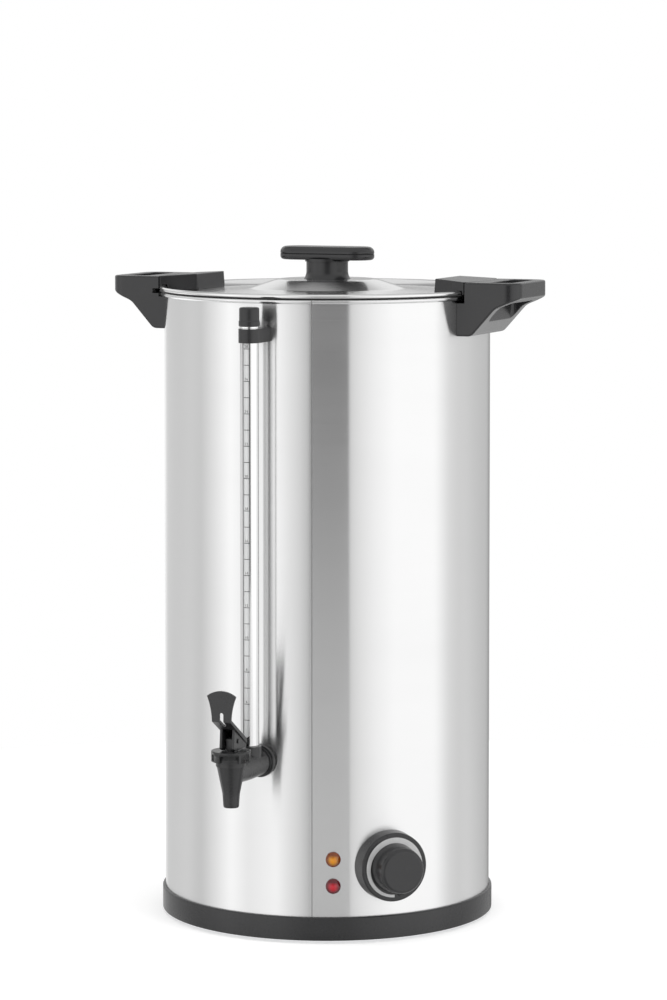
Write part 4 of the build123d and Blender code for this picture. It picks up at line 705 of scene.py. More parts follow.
class Bench:
    """Modelling steps on the active object, in the order in which an artist takes them."""

    DOUBLES = 0.000001  # distance up to which points are merged, metres
    SMOOTH = 30  # degrees up to which an edge looks smooth
    SOLID_SMOOTH = 32  # the same for a CAD node's shape
    SHARP = 40  # degrees from which a CAD node's edge is rounded
    FLAT = 0.4  # degrees up to which a CAD node's faces become one

    @staticmethod
    def clear() -> None:
        """Leaves edit mode and deselects everything."""
        if bpy.context.object is not None and bpy.context.object.mode != "OBJECT":
            bpy.ops.object.mode_set(mode="OBJECT")
        bpy.ops.object.select_all(action="DESELECT")

    @staticmethod
    def pick(piece: Thing) -> None:
        """Makes a piece the active and only selected one.

        Args:
            piece: the piece.
        """
        Bench.clear()
        piece.select_set(True)
        bpy.context.view_layer.objects.active = piece

    @staticmethod
    def apply() -> None:
        """Keeps the active object's place, turn and size in its mesh."""
        bpy.ops.object.transform_apply(location=True, rotation=True, scale=True)

    @staticmethod
    def name(label: str) -> Thing:
        """Names the active object and its data.

        Args:
            label: the name.
        Returns:
            The object.
        """
        piece = bpy.context.object
        piece.name = piece.data.name = label
        return piece

    @staticmethod
    def edit(piece: Thing) -> None:
        """Opens a piece's mesh with all of it selected.

        Args:
            piece: the piece.
        """
        Bench.pick(piece)
        bpy.ops.object.mode_set(mode="EDIT")
        bpy.ops.mesh.select_all(action="SELECT")

    @staticmethod
    def close(piece: Thing, angle: float = SMOOTH) -> Thing:
        """Merges doubles, turns normals out and shades a piece.

        Args:
            piece: the piece.
            angle: degrees up to which an edge looks smooth.
        Returns:
            The piece.
        """
        Bench.edit(piece)
        bpy.ops.mesh.remove_doubles(threshold=Bench.DOUBLES)
        bpy.ops.mesh.normals_make_consistent(inside=False)
        Bench.pick_back(piece)
        bpy.ops.object.shade_smooth_by_angle(angle=radians(angle))
        return piece

    @staticmethod
    def pick_back(piece: Thing) -> None:
        """Closes a piece's mesh and keeps the piece selected."""
        bpy.ops.object.mode_set(mode="OBJECT")
        Bench.pick(piece)

    @staticmethod
    def draw(label: str, points: Sequence[Point]) -> Thing:
        """Draws a line point by point and leaves it selected in edit mode.

        Args:
            label: the piece's name.
            points: x and z, mm.
        Returns:
            The piece.
        """
        Bench.clear()
        bpy.ops.mesh.primitive_plane_add(size=0.01, location=(0, 0, 0))
        piece = Bench.name(label)
        Bench.edit(piece)
        bpy.ops.mesh.merge(type="CENTER")
        bpy.ops.transform.translate(value=(points[0][0] * MM, 0, points[0][1] * MM))
        for last, here in zip(points, points[1:]):
            move = ((here[0] - last[0]) * MM, 0, (here[1] - last[1]) * MM)
            bpy.ops.mesh.extrude_region_move(TRANSFORM_OT_translate={"value": move})
        bpy.ops.mesh.select_all(action="SELECT")
        return piece

    @staticmethod
    def lathe(label: str, profile: Sequence[Point], steps: int = 192, angle: float = SMOOTH) -> Thing:
        """Draws a profile point by point and spins it about the upright axis.

        Args:
            label: the piece's name.
            profile: radius and height of each point, mm.
            steps: parts of the full turn.
            angle: degrees up to which an edge looks smooth.
        Returns:
            The piece.
        """
        piece = Bench.draw(label, profile)
        bpy.ops.mesh.spin(steps=steps, angle=2 * pi, center=(0, 0, 0), axis=(0, 0, 1))
        return Bench.close(piece, angle)

    @staticmethod
    def slab(label: str, outline: Sequence[Point], half_width: float) -> Thing:
        """Draws an outline seen from the front and extrudes it along y, to both sides of the middle.

        Args:
            label: the piece's name.
            outline: x and z of its corners, mm.
            half_width: mm.
        Returns:
            The piece.
        """
        piece = Bench.draw(label, outline)
        bpy.ops.mesh.edge_face_add()
        bpy.ops.transform.translate(value=(0, -half_width * MM, 0))
        bpy.ops.mesh.extrude_region_move(TRANSFORM_OT_translate={"value": (0, 2 * half_width * MM, 0)})
        return Bench.close(piece)

    @staticmethod
    def drum(radius: float, low: float, high: float) -> Thing:
        """Makes an upright cutting cylinder on the urn's axis.

        Args:
            radius: mm.
            low, high: its ends, mm.
        Returns:
            The cylinder.
        """
        Bench.clear()
        middle = (0, 0, (low + high) / 2 * MM)
        bpy.ops.mesh.primitive_cylinder_add(
            vertices=360, radius=radius * MM, depth=(high - low) * MM, location=middle
        )
        Bench.apply()
        return Bench.name("drum")

    @staticmethod
    def round_edges(piece: Thing, width: float, segments: int, test: Test) -> None:
        """Rounds the sharp edges that pass a test.

        Args:
            piece: the piece.
            width: of the rounding, mm.
            segments: its parts.
            test: says of an edge's two ends, in mm, whether it's rounded.
        """
        Bench.edit(piece)
        bpy.ops.mesh.select_mode(type="EDGE")
        bpy.ops.mesh.select_all(action="DESELECT")
        bpy.ops.mesh.edges_select_sharp(sharpness=radians(Bench.SMOOTH))
        bpy.ops.object.mode_set(mode="OBJECT")
        mesh = piece.data
        places = [vertex.co / MM for vertex in mesh.vertices]
        chosen = [edge.select and test(*(places[index] for index in edge.vertices)) for edge in mesh.edges]
        mesh.vertices.foreach_set("select", [False] * len(mesh.vertices))
        mesh.polygons.foreach_set("select", [False] * len(mesh.polygons))
        mesh.edges.foreach_set("select", chosen)
        bpy.ops.object.mode_set(mode="EDIT")
        bpy.ops.mesh.bevel(offset=width * MM, segments=segments, affect="EDGES")
        bpy.ops.mesh.select_mode(type="VERT")
        Bench.close(piece)

    @staticmethod
    def even(piece: Thing) -> Thing:
        """Args: piece: a piece with flat and round faces. Returns: it, its flat faces shaded flat."""
        Bench.modify(piece, "WEIGHTED_NORMAL", keep_sharp=True)
        return piece

    @staticmethod
    def place(piece: Thing, at: Sequence[float], turn: Sequence[float] = (0, 0, 0)) -> Thing:
        """Puts a piece where it belongs and keeps its place in its mesh.

        Args:
            piece: the piece.
            at: place in mm.
            turn: degrees about x, y and z.
        Returns:
            The piece.
        """
        Bench.pick(piece)
        piece.location = Vector(at) * MM
        piece.rotation_euler = [radians(angle) for angle in turn]
        Bench.apply()
        return piece

    @staticmethod
    def on_wall(piece: Thing, azimuth: float, radius: float, height: float) -> Thing:
        """Points a piece that was made upright out of the wall.

        Args:
            piece: the piece.
            azimuth: degrees from the tap towards the right handle.
            radius: of the piece's lowest plane from the urn's axis, mm.
            height: mm.
        Returns:
            The piece.
        """
        return Bench.place(piece, outward(azimuth, radius, height), (90, 0, azimuth))

    @staticmethod
    def modify(piece: Thing, kind: str, **settings: Any) -> None:
        """Adds a modifier and applies it.

        Args:
            piece: the piece.
            kind: the modifier's type.
            settings: its properties.
        """
        Bench.pick(piece)
        made = piece.modifiers.new(kind.lower(), kind)
        for key, value in settings.items():
            setattr(made, key, value)
        bpy.ops.object.modifier_apply(modifier=made.name)

    @staticmethod
    def cut(piece: Thing, tool: Thing) -> None:
        """Cuts a tool's shape out of a piece and removes the tool."""
        Bench.modify(piece, "BOOLEAN", operation="DIFFERENCE", object=tool, solver="EXACT")
        bpy.data.objects.remove(tool)

    @staticmethod
    def twin(piece: Thing, label: str) -> Thing:
        """Copies a piece together with its mesh.

        Args:
            piece: what is copied.
            label: the copy's name.
        Returns:
            The copy.
        """
        copy = add_object(label, piece.data.copy())
        copy.data.name = label
        return copy

    @staticmethod
    def join(pieces: Sequence[Thing], label: str) -> Thing:
        """Makes several pieces one.

        Args:
            pieces: what is joined.
            label: the name.
        Returns:
            The one piece.
        """
        Bench.pick(pieces[0])
        for piece in pieces[1:]:
            piece.select_set(True)
        bpy.ops.object.join()
        return Bench.name(label)

    @staticmethod
    def refine(node: str, label: str, edge: float = 0) -> Thing:
        """Makes a smooth, welded piece of a CAD node's shape.

        Args:
            node: the CAD node.
            label: the piece's name.
            edge: rounding of its sharp edges, mm.
        Returns:
            The piece.
        """
        piece = add_object(label, frame["nodes"][node].data.copy())
        piece.data.name = label
        piece.data.materials.clear()
        Bench.edit(piece)
        bpy.ops.mesh.remove_doubles(threshold=Bench.DOUBLES)
        bpy.ops.mesh.dissolve_limited(angle_limit=radians(Bench.FLAT))
        bpy.ops.object.mode_set(mode="OBJECT")
        Bench.close(piece, Bench.SOLID_SMOOTH)
        if edge:
            Bench.modify(
                piece,
                "BEVEL",
                width=edge * MM,
                segments=2,
                limit_method="ANGLE",
                angle_limit=radians(Bench.SHARP),
                use_clamp_overlap=False,
                harden_normals=True,
            )
        return Bench.even(piece)


@dataclass
class Assembly:
    """Pieces that are built and dressed together. Sizes are in mm, angles in degrees."""

    made: list[tuple[Thing, str]] = field(default_factory=list, init=False)

    def keep(self, piece: Thing, *nodes: str) -> Thing:
        """Args: piece: a finished piece. nodes: the CAD nodes that it stands for. Returns: the piece."""
        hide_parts(*nodes)
        return self.add(piece, BODY_OF[nodes[0]], SLOT_OF[nodes[0]])

    def add(self, piece: Thing, body: str, slot: str) -> Thing:
        """Registers a finished piece.

        Args:
            piece: the piece.
            body: what it rides on.
            slot: its finish.
        Returns:
            The piece.
        """
        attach(piece, body)
        self.made.append((piece, slot))
        LOG.info("%s: %s on %s", type(self).__name__, piece.name, body)
        return piece

    def refine(self, *nodes: str, edge: float = 0) -> None:
        """Args: nodes: CAD nodes, of which smooth copies are kept. edge: rounding of their edges, mm."""
        for node in nodes:
            self.keep(Bench.refine(node, node + "_smooth", edge), node)

    def build(self) -> None:
        """Models the pieces."""
        raise NotImplementedError

    def dress(self) -> None:
        """Gives each piece the finish of its slot."""
        for piece, slot in self.made:
            paint(piece, slot)


@dataclass
class Base(Assembly):
    """Moulded ring, plate, screws and feet under the vessel."""

    outer: float = 152.7
    bottom: float = 2.5
    top: float = 23.5
    groove: float = 8.5
    rib_top: float = 15.1
    groove_out: float = 150.05
    groove_in: float = 148.95
    rib_in: float = 146.95
    flange_in: float = 130.0
    flange_low: float = 4.5
    flange_high: float = 7.0
    boss_bore: float = 1.55
    boss_radius: float = 4.5
    boss_circle: float = 138.95
    boss_top: float = 13.0

    def build(self) -> None:
        """Models the ring with soft edges and its screw bosses."""
        profile = rounded([
            (self.groove_in, self.bottom, 0), (self.outer, self.bottom, 1.0),
            (self.outer, self.top, 1.5), (self.groove_out, self.top, 0.3),
            (self.groove_out, self.groove, 0), (self.groove_in, self.groove, 0),
            (self.groove_in, self.rib_top, 0.2), (self.rib_in, self.rib_top, 0.2),
            (self.rib_in, self.flange_high, 0.4), (self.flange_in, self.flange_high, 0.4),
            (self.flange_in, self.flange_low, 0.4), (self.groove_in, self.flange_low, 0),
            (self.groove_in, self.bottom, 0),
        ])
        parts = [Bench.lathe("base_ring_moulding", profile, 384)]
        for index in range(4):
            boss = Bench.lathe("boss", rounded([
                (self.boss_bore, self.flange_high, 0), (self.boss_bore, self.boss_top, 0.2),
                (self.boss_radius, self.boss_top, 0.4), (self.boss_radius, self.flange_high, 0),
            ]), 32)
            turn = radians(45 + 90 * index)
            parts.append(Bench.place(boss, (self.boss_circle * cos(turn), self.boss_circle * sin(turn), 0)))
        self.keep(Bench.join(parts, "base_ring_moulding"), "base_ring")
        self.refine("bottom_plate", "bottom_screws", "rubber_feet")


@dataclass
class Vessel(Assembly):
    """Steel wall with its curled rim, and the tank's floor."""

    radius: float = 150.0
    wall: float = 1.0
    low: float = 8.5
    curl_centre: Point = (151.1, 571.8)
    curl_radius: float = 2.2

    def build(self) -> None:
        """Models the rolled wall in one turn of the lathe."""
        inner = self.radius - self.wall
        profile = [(inner, self.low), (inner, self.curl_centre[1])]
        profile += arc(self.curl_centre, self.curl_radius, 180, -70, 24)[1:]
        profile += arc(self.curl_centre, self.curl_radius - self.wall, -70, 180, 20)
        profile += [(self.radius, self.low), (inner, self.low)]
        self.keep(Bench.lathe("vessel_wall", profile, 512, 40), "vessel_shell")
        self.refine("tank_floor")


@dataclass
class Handles(Assembly):
    """The two moulded handles and their screws."""

    inside: float = 120.0
    wall_radius: float = 150.05
    face_radius: float = 157.4
    end: float = 201.5
    half_width: float = 43.0
    top: float = 586.0
    grip_low: float = 571.8
    knee: Point = (180.0, 562.8)
    foot: Point = (157.5, 537.8)
    notch: float = 567.4
    corner: float = 14.0
    bend: float = 3.6
    edge: float = 1.6
    hole: tuple[float, float] = (169.4, 191.0)
    hole_half: float = 31.0
    hole_corner: float = 5.0
    hole_edge: float = 0.9
    past: float = 5.0  # how far the cutting tools reach beyond the handle
    slot_radius: float = 163.4
    slot_start: float = 10.0
    slot: tuple[float, float] = (570.5, 574.9)

    def opening(self) -> Thing:
        """Makes the tool that cuts the finger hole.

        Returns:
            The tool.
        """
        low, high = self.foot[1] - self.past, self.top + self.past
        first, last = self.hole
        tool = Bench.slab("opening", [(first, low), (last, low), (last, high), (first, high)], self.hole_half)
        Bench.round_edges(tool, self.hole_corner, 6, lambda a, b: abs(a.z - b.z) > 10)
        return tool

    def in_hole(self, *ends: Vector) -> bool:
        """Args: ends: of an edge, mm. Returns: whether it lies on the finger hole."""
        first, last = self.hole
        return all(first - 0.1 < end.x < last + 0.1 and abs(end.y) < self.hole_half + 0.1 for end in ends)

    def at_end(self, one: Vector, other: Vector) -> bool:
        """Args: one, other: ends of an edge, mm. Returns: whether it stands at the grip's end."""
        return min(one.x, other.x) > self.end - 1 and abs(one.z - other.z) > 5

    def lock_slot(self) -> Thing:
        """Makes the tool that cuts the slot for the lid's lug.

        Returns:
            The tool.
        """
        tool = Bench.drum(self.slot_radius, *self.slot)
        Bench.edit(tool)
        bpy.ops.mesh.bisect(
            plane_co=(0, self.slot_start * MM, 0), plane_no=(0, 1, 0), clear_inner=True, use_fill=True
        )
        return Bench.close(tool)

    def body(self) -> Thing:
        """Extrudes a side view, rounds its corners and cuts it to fit the vessel.

        Returns:
            The right handle.
        """
        body = Bench.slab("handle_moulding_right", rounded([
            (self.inside, self.foot[1], 0), (*self.foot, self.bend), (*self.knee, self.bend),
            (self.end, self.grip_low, 0), (self.end, self.top, 0), (self.inside, self.top, 0),
        ]), self.half_width)
        Bench.round_edges(body, self.corner, 20, self.at_end)
        Bench.round_edges(body, self.edge, 4, lambda a, b: max(a.x, b.x) > self.inside + 1)
        Bench.cut(body, Bench.drum(self.wall_radius, self.foot[1] - self.past, self.top + self.past))
        Bench.cut(body, Bench.drum(self.face_radius, self.notch, self.top + self.past))
        Bench.cut(body, self.opening())
        Bench.cut(body, self.lock_slot())
        Bench.round_edges(body, self.hole_edge, 3, self.in_hole)
        return Bench.even(body)

    def build(self) -> None:
        """Models the right handle, turns a copy of it half round, and adds the screws."""
        right = self.body()
        left = Bench.place(Bench.twin(right, "handle_moulding_left"), (0, 0, 0), (0, 0, 180))
        self.keep(right, "handle_right")
        self.keep(left, "handle_left")
        self.refine("handle_screws_right", "handle_screws_left")


@dataclass
class Lid(Assembly):
    """Spun lid with its seal, wings and knob."""

    plateau: Point = (44.0, 584.9)
    cone_top: Point = (48.0, 584.1)
    cone_foot: Point = (72.0, 576.5)
    dish: Point = (145.5, 572.5)
    hem_centre: Point = (151.8, 576.2)
    hem_half_width: float = 2.2
    hem_bend: float = 2.0  # radius of its round sides, which is half its height
    thickness: float = 0.8
    stem_radius: float = 19.2
    stem_wall: float = 2.4
    stem_foot: float = 21.5
    screw_bore: float = 2.6
    screw_tube: float = 6.1
    flare_centre: Point = (9.4, 6.9)  # beyond the foot's radius and above it
    flare_radius: float = 11.7
    flare_rise: float = 7.0
    stem_low: float = 584.95
    stem_high: float = 602.45

    def shell(self) -> Thing:
        """Spins the lid with soft bends and a rolled hem.

        Returns:
            The lid.
        """
        x, z = self.hem_centre
        bend = self.hem_bend
        side = self.hem_half_width - bend
        hem = arc((x - side, z), bend, 170, 90, 6) + arc((x + side, z), bend, 90, -90, 12)
        hem += arc((x - side, z), bend, -90, -150, 5)
        top = rounded([
            (0, self.plateau[1], 0), (*self.plateau, 1.6), (*self.cone_top, 1.6), (*self.cone_foot, 3.0),
            (*self.dish, 1.6), (*hem[0], 0),
        ])
        drop = self.thickness
        under = rounded([
            (*hem[-1], 0), (self.dish[0] + 0.3, self.dish[1] - drop, 1.2),
            (self.cone_foot[0], self.cone_foot[1] - drop, 2.4),
            (self.cone_top[0], self.cone_top[1] - drop, 1.4),
            (self.plateau[0], self.plateau[1] - drop, 1.4), (0, self.plateau[1] - drop, 0),
        ])
        return Bench.lathe("lid_spun", top[:-1] + hem + under[1:], 512, 40)

    def stem(self) -> Thing:
        """Turns the knob's hollow stem with its flared foot.

        Returns:
            The stem.
        """
        low, high = self.stem_low, self.stem_high
        centre = (self.stem_foot + self.flare_centre[0], low + self.flare_centre[1])
        flare = arc(centre, self.flare_radius, 180, 216, 8)
        inside, ceiling = self.stem_radius - self.stem_wall, high - self.stem_wall
        profile = rounded([
            (self.screw_tube, low, 0), (self.screw_bore, low, 0), (self.screw_bore, high, 0.3),
            (self.stem_radius, high, 0.3), (flare[0][0], flare[0][1], 0),
        ])
        profile += flare[1:] + [(self.stem_foot, low), (self.stem_foot - self.stem_wall, low)]
        profile += [(inside, low + self.flare_rise), (inside, ceiling), (self.screw_tube, ceiling)]
        return Bench.lathe("knob_stem_turned", profile + [(self.screw_tube, low)], 128)

    def build(self) -> None:
        """Models the lid's pieces."""
        self.keep(self.shell(), "lid_shell")
        self.keep(self.stem(), "knob_stem")
        self.refine("lid_seal", "wing_screws", "knob_grip_lower", "knob_grip_upper")
        self.refine("knob_washer", "knob_screw")
        self.refine("lid_wing_right", "lid_wing_left", edge=0.7)


@dataclass
class Tap(Assembly):
    """Lever tap with its gaskets, bonnet, plunger and lever."""

    def build(self) -> None:
        """Models the tap's pieces from their solids."""
        self.refine("tap_gasket", "tap_inner_gasket", "tap_nut", "tap_stem", "tap_seat_cup")
        self.refine("tap_spring", "lever_pin", "tap_body", "tap_bonnet")
        self.refine("tap_lever", edge=0.4)


@dataclass
class Gauge(Assembly):
    """Sight gauge: slotted guard, clear tube with its scale, ring, cap and clip."""

    axis_y: float = -175.0
    guard_radius: float = 8.2
    guard_wall: float = 0.8
    guard_low: float = 173.85
    guard_high: float = 549.5
    slot_low: float = 188.1
    slot_high: float = 542.7
    slot_width: float = 6.4
    slot_reach: float = 20.0  # of the tool, from the gauge's axis to the front
    tube_radius: float = 7.0
    tube_wall: float = 1.2
    tube_low: float = 168.85
    tube_high: float = 559.4
    tube_fit: float = 0.05  # gap between the tube and the pieces around it
    ring_high: float = 551.1
    ring_lip: float = 0.5  # how far the ring stands out beyond the guard
    cap_radius: float = 9.35
    cap_high: float = 567.7
    cap_step: float = 0.5  # how much slimmer the cap is above its band
    cap_band: float = 0.27  # top of the band, as a share of the cap's height
    cap_bore: float = 0.6  # top of the bore for the tube, as such a share
    vent: float = 1.0
    first_mark: float = 203.5
    mark_pitch: float = 14.26
    first_litre: int = 5
    marks: int = 24
    mark_width: float = 5.2
    mark_height: float = 0.55
    mark_shift: float = 0.3  # of the marks to the right of the tube's middle
    digit_height: float = 3.3
    digit_shift: float = 0.1
    digit_gap: float = 0.9  # from a mark up to its number
    print_lift: float = 0.03  # of the scale off the tube

    def upright(self, label: str, profile: Sequence[Point], steps: int = 96) -> Thing:
        """Args: label: name. profile: radius and height. steps: of the turn. Returns: the piece."""
        return Bench.place(Bench.lathe(label, profile, steps), (0, self.axis_y, 0))

    def guard(self) -> Thing:
        """Makes the guard tube and cuts its round-ended slot.

        Returns:
            The guard.
        """
        inner = self.guard_radius - self.guard_wall
        profile = sleeve(inner, self.guard_radius, self.guard_low, self.guard_high, 0.15, 0.15, 3)
        tube = self.upright("guard_tube", profile, 160)
        half = self.slot_width / 2
        Bench.clear()
        bpy.ops.mesh.primitive_cylinder_add(
            vertices=48,
            radius=half * MM,
            depth=self.slot_reach * MM,
            rotation=(pi / 2, 0, 0),
            location=(0, (self.axis_y - self.slot_reach / 2) * MM, (self.slot_low + half) * MM),
        )
        tool = Bench.name("slot_tool")
        Bench.apply()
        bpy.ops.object.mode_set(mode="EDIT")
        bpy.ops.mesh.select_all(action="DESELECT")
        bpy.ops.object.mode_set(mode="OBJECT")
        for vertex in tool.data.vertices:
            vertex.select = vertex.co.z > (self.slot_low + half + 0.01) * MM
        bpy.ops.object.mode_set(mode="EDIT")
        bpy.ops.transform.translate(value=(0, 0, (self.slot_high - self.slot_low - self.slot_width) * MM))
        bpy.ops.object.mode_set(mode="OBJECT")
        Bench.cut(tube, tool)
        return Bench.close(tube)

    def scale(self, tube: Thing) -> Thing:
        """Prints the scale: a mark for each litre, a number for the even ones.

        Args:
            tube: the clear tube that carries it.
        Returns:
            The scale.
        """
        front = (self.axis_y - self.tube_radius - 1) * MM
        Bench.clear()
        bpy.ops.mesh.primitive_grid_add(
            x_subdivisions=12,
            y_subdivisions=1,
            size=MM,
            rotation=(pi / 2, 0, 0),
            location=(self.mark_shift * MM, front, self.first_mark * MM),
        )
        line = Bench.name("mark")
        line.scale = (self.mark_width, self.mark_height, 1)
        Bench.apply()
        Bench.modify(
            line,
            "ARRAY",
            count=self.marks,
            use_relative_offset=False,
            use_constant_offset=True,
            constant_offset_displace=(0, 0, self.mark_pitch * MM),
        )
        prints = [line]
        for step in range(1, self.marks, 2):
            Bench.clear()
            height = self.first_mark + step * self.mark_pitch + self.digit_gap
            at = (self.digit_shift * MM, front, height * MM)
            bpy.ops.object.text_add(rotation=(pi / 2, 0, 0), location=at)
            text = bpy.context.object
            text.data.body = str(self.first_litre + step)
            text.data.size = self.digit_height * MM
            text.data.align_x = "CENTER"
            bpy.ops.object.convert(target="MESH")
            Bench.apply()
            prints.append(bpy.context.object)
        scale = Bench.join(prints, "gauge_scale_print")
        Bench.modify(
            scale,
            "SHRINKWRAP",
            target=tube,
            wrap_method="PROJECT",
            use_project_y=True,
            use_positive_direction=True,
            use_negative_direction=False,
            offset=self.print_lift * MM,
            wrap_mode="ABOVE_SURFACE",
        )
        return scale

    def cap(self, around: float) -> Thing:
        """Turns the cap.

        Args:
            around: radius of the bore that takes the tube, mm.
        Returns:
            The cap.
        """
        low, high = self.ring_high, self.cap_high
        band = low + self.cap_band * (high - low)
        bore = low + self.cap_bore * (high - low)
        slim = self.cap_radius - self.cap_step
        return self.upright("gauge_cap_turned", rounded([
            (self.vent, bore, 0), (around, bore, 0), (around, low, 0), (self.cap_radius, low, 0.6),
            (self.cap_radius, band, 0.4), (slim, band + 0.6, 0.2), (slim, high, 2.0),
            (self.vent, high, 0.3), (self.vent, bore, 0),
        ]))

    def build(self) -> None:
        """Models the gauge's pieces."""
        self.keep(self.guard(), "gauge_guard")
        inner = self.tube_radius - self.tube_wall
        profile = sleeve(inner, self.tube_radius, self.tube_low, self.tube_high, 0.2, 0.2, 3)
        tube = self.upright("clear_tube_drawn", profile)
        self.keep(tube, "gauge_tube")
        self.add(self.scale(tube), "urn", "cap_plastic")
        around = self.tube_radius + self.tube_fit
        profile = sleeve(around, self.guard_radius + self.ring_lip, self.guard_high, self.ring_high, 0.4)
        self.keep(self.upright("gauge_ring_turned", profile), "gauge_ring")
        self.keep(self.cap(around), "gauge_cap")
        self.refine("gauge_seal", "gauge_clip", "gauge_clip_screw")


@dataclass
class Dial(Assembly):
    """Thermostat dial: bezel, foil scale, knob and what holds it behind the wall."""

    azimuth: float = 44.5
    height: float = 68.7
    face: float = 163.2
    bezel_radius: float = 32.0
    bezel_nose: float = 30.8
    bezel_wall: float = 2.2
    bushing: float = 5.05
    bushing_wall: float = 3.0
    wall_radius: float = 150.05
    arc_radius: float = 25.6
    dots: tuple[Point, ...] = ((2.2, 0.62), (-1.8, 0.4))  # degrees and radius of each
    dot_high: float = 0.2

    def bezel(self) -> Thing:
        """Turns the bezel hollow and cuts it to the round of the wall.

        Returns:
            The bezel.
        """
        low = self.wall_radius - 10  # deep enough for the wall's round to cut it all around
        inside = self.face - self.bezel_wall
        collar = self.bushing + self.bushing_wall
        bezel = Bench.lathe("dial_bezel_turned", rounded([
            (self.bushing, low, 0), (collar, low, 0), (collar, inside, 0.3),
            (self.bezel_nose - self.bezel_wall, inside, 0.6), (self.bezel_radius - self.bezel_wall, low, 0),
            (self.bezel_radius, low, 0), (self.bezel_nose, self.face, 1.5), (self.bushing, self.face, 0.3),
            (self.bushing, low, 0),
        ]), 160)
        Bench.on_wall(bezel, self.azimuth, 0, self.height)
        Bench.cut(bezel, Bench.drum(self.wall_radius, self.height - 50, self.height + 50))
        return Bench.even(Bench.close(bezel))

    def build(self) -> None:
        """Models the dial's pieces and the last dots of its scale."""
        self.keep(self.bezel(), "dial_bezel")
        self.refine("dial_knob", "dial_scale_arc", "dial_shaft", "thermostat_body", "thermostat_nut")
        parts = []
        for turn, radius in self.dots:
            corners = [(0, 0, 0), (radius, 0, 0), (radius, self.dot_high, 0.1), (0, self.dot_high, 0)]
            at = (self.arc_radius * cos(radians(turn)), self.arc_radius * sin(radians(turn)), 0)
            parts.append(Bench.place(Bench.lathe("dot", rounded(corners), 20), at))
        dots = Bench.join(parts, "dial_scale_dots")
        self.add(Bench.on_wall(dots, self.azimuth, self.face, self.height), "urn", "foil")


@dataclass
class Lamps(Assembly):
    """The two indicator lamps."""

    def build(self) -> None:
        """Models the lenses and their holders."""
        self.refine("lamp_lens_amber", "lamp_lens_red", "lamp_bodies")


@dataclass
class Electrics(Assembly):
    """Heater, cut-out, terminals and cord gland under the tank."""

    def build(self) -> None:
        """Models the pieces from their solids."""
        self.refine("heater_plate", "heating_element", "boil_dry_cutout")
        self.refine("terminal_block", "cord_gland", "gland_nut")


# ---------------------------------------------------------------------- studio


